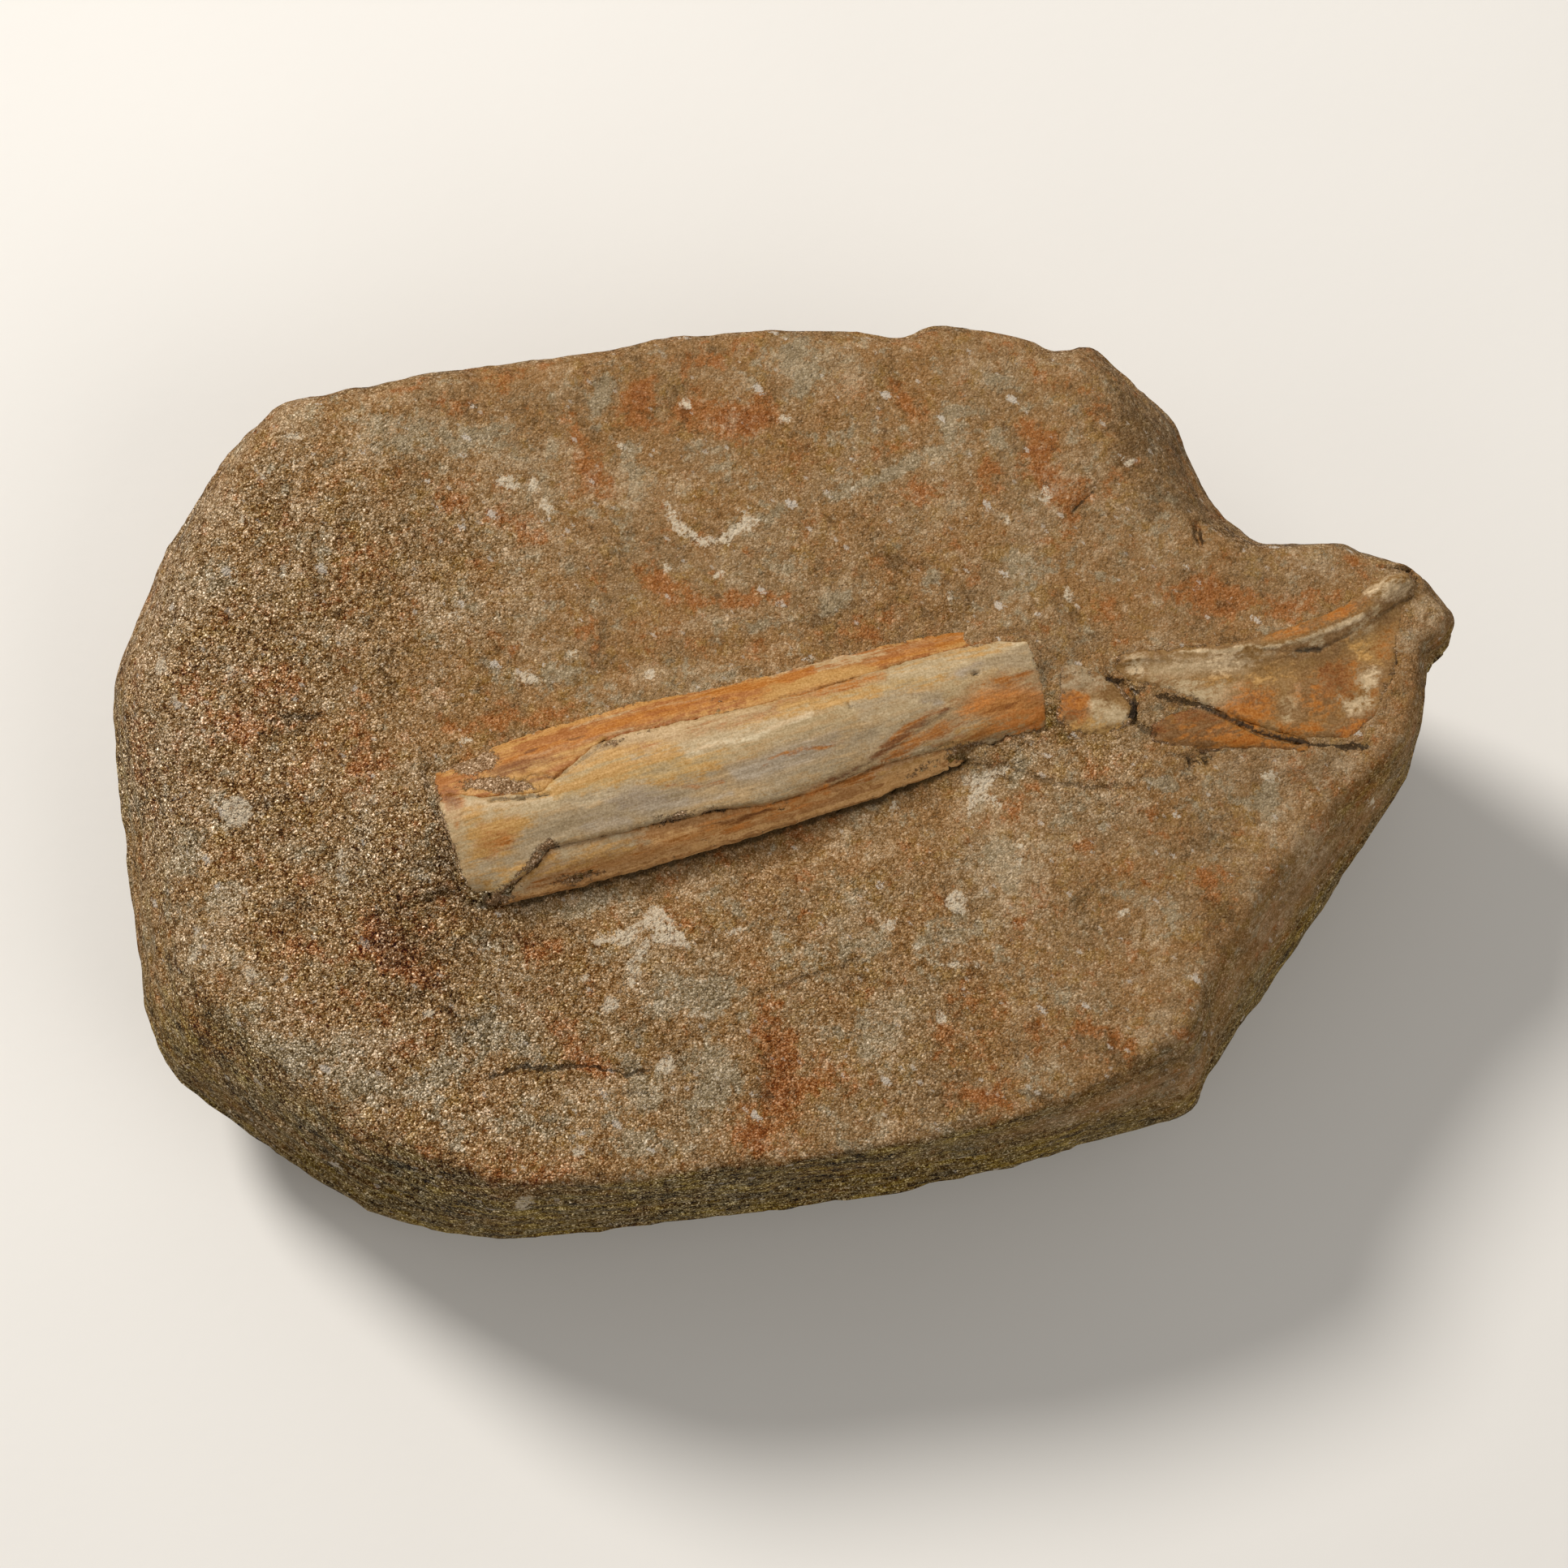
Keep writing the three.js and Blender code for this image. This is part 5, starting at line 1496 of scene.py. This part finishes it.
def fossil_bone(name, first, second, stretch, polish):
    nodes = Nodes(name)
    place = nodes.place()
    drawn = nodes.stretched(place, SHAFT_ANGLE, (stretch, 1.0, 1.0))
    colour = bone_colour(nodes, place, drawn, first, second)
    colour = nodes.brighter(colour, nodes.wave(place, 0.22, 0.30, 2.0, 0.6))
    specks = nodes.rise(nodes.wave(place, 0.5, 4.0, 3.0, 0.7), 0.95, 1.15)
    colour = nodes.cover(colour, BONE_OLIVE, specks, 0.6)
    sandy = sand_share(nodes, place)
    sand, grain = grains(nodes, place, BONE_SAND, 0.17)
    colour = nodes.mix(sandy, colour, sand)
    crack = nodes.crack(nodes.wave(place, 0.4, 1.1, 4.0, 0.75))
    colour = nodes.cover(colour, CRACK_DARK, crack, 0.85)
    fibres = nodes.bump(nodes.noise(drawn, 0.45, 4.0, 0.6), 0.07)
    pitted = nodes.bump(nodes.times(grain, sandy), -0.25, fibres)
    blotches = nodes.noise(place, 1.0, 4.0, 0.7)
    roughness = nodes.math("MULTIPLY_ADD", blotches, 0.3, polish)
    return nodes.finish(colour, roughness, nodes.bump(blotches, 0.10, pitted), 0.22)


# ------------------------------------------------------------------ assembly

stone_finish = sandstone()
pale_bone = fossil_bone("fossil_bone", seen(182, 157, 117), seen(168, 136, 92), 9.0, 0.36)
amber_bone = fossil_bone("amber_fossil_bone", seen(194, 144, 82), seen(150, 90, 36), 9.0, 0.42)
# the lower splinter's light tint: its own colour, brightened as painted light for the shade on its sloping
# near side
brown_bone = fossil_bone("brown_fossil_bone", seen(226, 176, 116), seen(172, 120, 66), 8.0, 0.48)
dark_bone = fossil_bone("dark_fossil_bone", seen(146, 102, 50), seen(112, 74, 32), 3.0, 0.48)
tan_bone = fossil_bone("tan_fossil_bone", seen(147, 112, 66), seen(122, 86, 43), 1.6, 0.45)

BONES = [
    ("bone_shaft", "fossil_shaft", "bone", (3, 6), shaft_relief, pale_bone),
    ("shaft_upper_splinter", "fossil_upper_splinter", "stained_bone", (4, 4), shaft_relief, amber_bone),
    ("shaft_lower_splinter", "fossil_lower_splinter", "stained_bone", (4, 3), shaft_relief, brown_bone),
    ("middle_fragment", "fossil_middle_fragment", "stained_bone", (3, 3), plate_relief, tan_bone),
    ("flared_end", "fossil_flared_end", "bone", (5, 7), flare_relief, tan_bone),
    ("flared_lower_strip", "fossil_lower_strip", "stained_bone", (3, 3), plate_relief, dark_bone),
]


def dress(made, finish, node):
    made.data.materials.clear()
    made.data.materials.append(finish)
    made.data.shade_smooth()
    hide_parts(node)
    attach(made, "root")


bones = []
for node, name, slot, powers, relief, finish in BONES:
    bones.append(make_bone(node, name, powers, relief))
    dress(bones[-1], finish, node)
seating = Seating(bones)
for bone in bones:
    edge_attribute(bone.data, seating)
dress(make_block(seating), stone_finish, "matrix")

# ------------------------------------------------------------------ floor, light and camera

FLOOR_COLOUR = screen(222, 218, 212)
FLOOR_SHADE = screen(216, 212, 206)
FLOOR_HALF = 3.0  # like the lights' places and sizes, in metres
LAMP_COLOUR = (1.0, 0.98, 0.95)
LAMP_TARGET = Vector((0, 0, 0.02))
SKY_COLOUR = (0.99, 0.98, 0.96, 1.0)
SKY_STRENGTH = 0.36
# Lamps: name, place, size and power.
LAMPS = [
    ("key", (-0.52, 0.56, 0.74), 0.30, 12.0),
    ("fill", (0.7, -0.5, 0.8), 0.8, 3.2),
]


def floor_finish():
    nodes = Nodes("plain_floor")
    place = nodes.place()
    colour = nodes.mix(nodes.noise(place, 60.0), FLOOR_COLOUR, FLOOR_SHADE)
    return nodes.finish(colour, 0.9, nodes.bump(nodes.noise(place, 2.0), 0.02), 0.2)


def make_floor():
    mesh = bpy.data.meshes.new("floor")
    turns = [(-1, -1), (1, -1), (1, 1), (-1, 1)]
    corners = [(FLOOR_HALF * x, FLOOR_HALF * y, 0) for x, y in turns]
    mesh.from_pydata(corners, [], [(0, 1, 2, 3)])
    mesh.materials.append(floor_finish())
    add_object("floor", mesh)


def area_light(name, place, size, power):
    light = bpy.data.lights.new(name, "AREA")
    light.shape = "DISK"
    light.size = size
    light.energy = power
    light.color = LAMP_COLOUR
    made = add_object(name, light)
    made.location = place
    made.rotation_euler = (LAMP_TARGET - Vector(place)).to_track_quat("-Z", "Y").to_euler()


def make_world():
    world = bpy.data.worlds.new("studio")
    world.use_nodes = True
    background = world.node_tree.nodes["Background"]
    background.inputs[0].default_value = SKY_COLOUR
    background.inputs[1].default_value = SKY_STRENGTH
    bpy.context.scene.world = world


def make_camera():
    data = bpy.data.cameras.new("camera")
    data.lens = LENS
    data.sensor_width = SENSOR
    data.clip_start = 0.01
    camera = add_object("camera", data)
    turn = Matrix([RIGHT, UP, -FORWARD]).transposed().to_4x4()
    camera.matrix_world = Matrix.Translation(Vector(CAMERA_PLACE * MM)) @ turn
    bpy.context.scene.camera = camera


make_floor()
for lamp in LAMPS:
    area_light(*lamp)
make_world()
make_camera()
bpy.context.scene.view_settings.view_transform = "Standard"

bpy.context.view_layer.update()
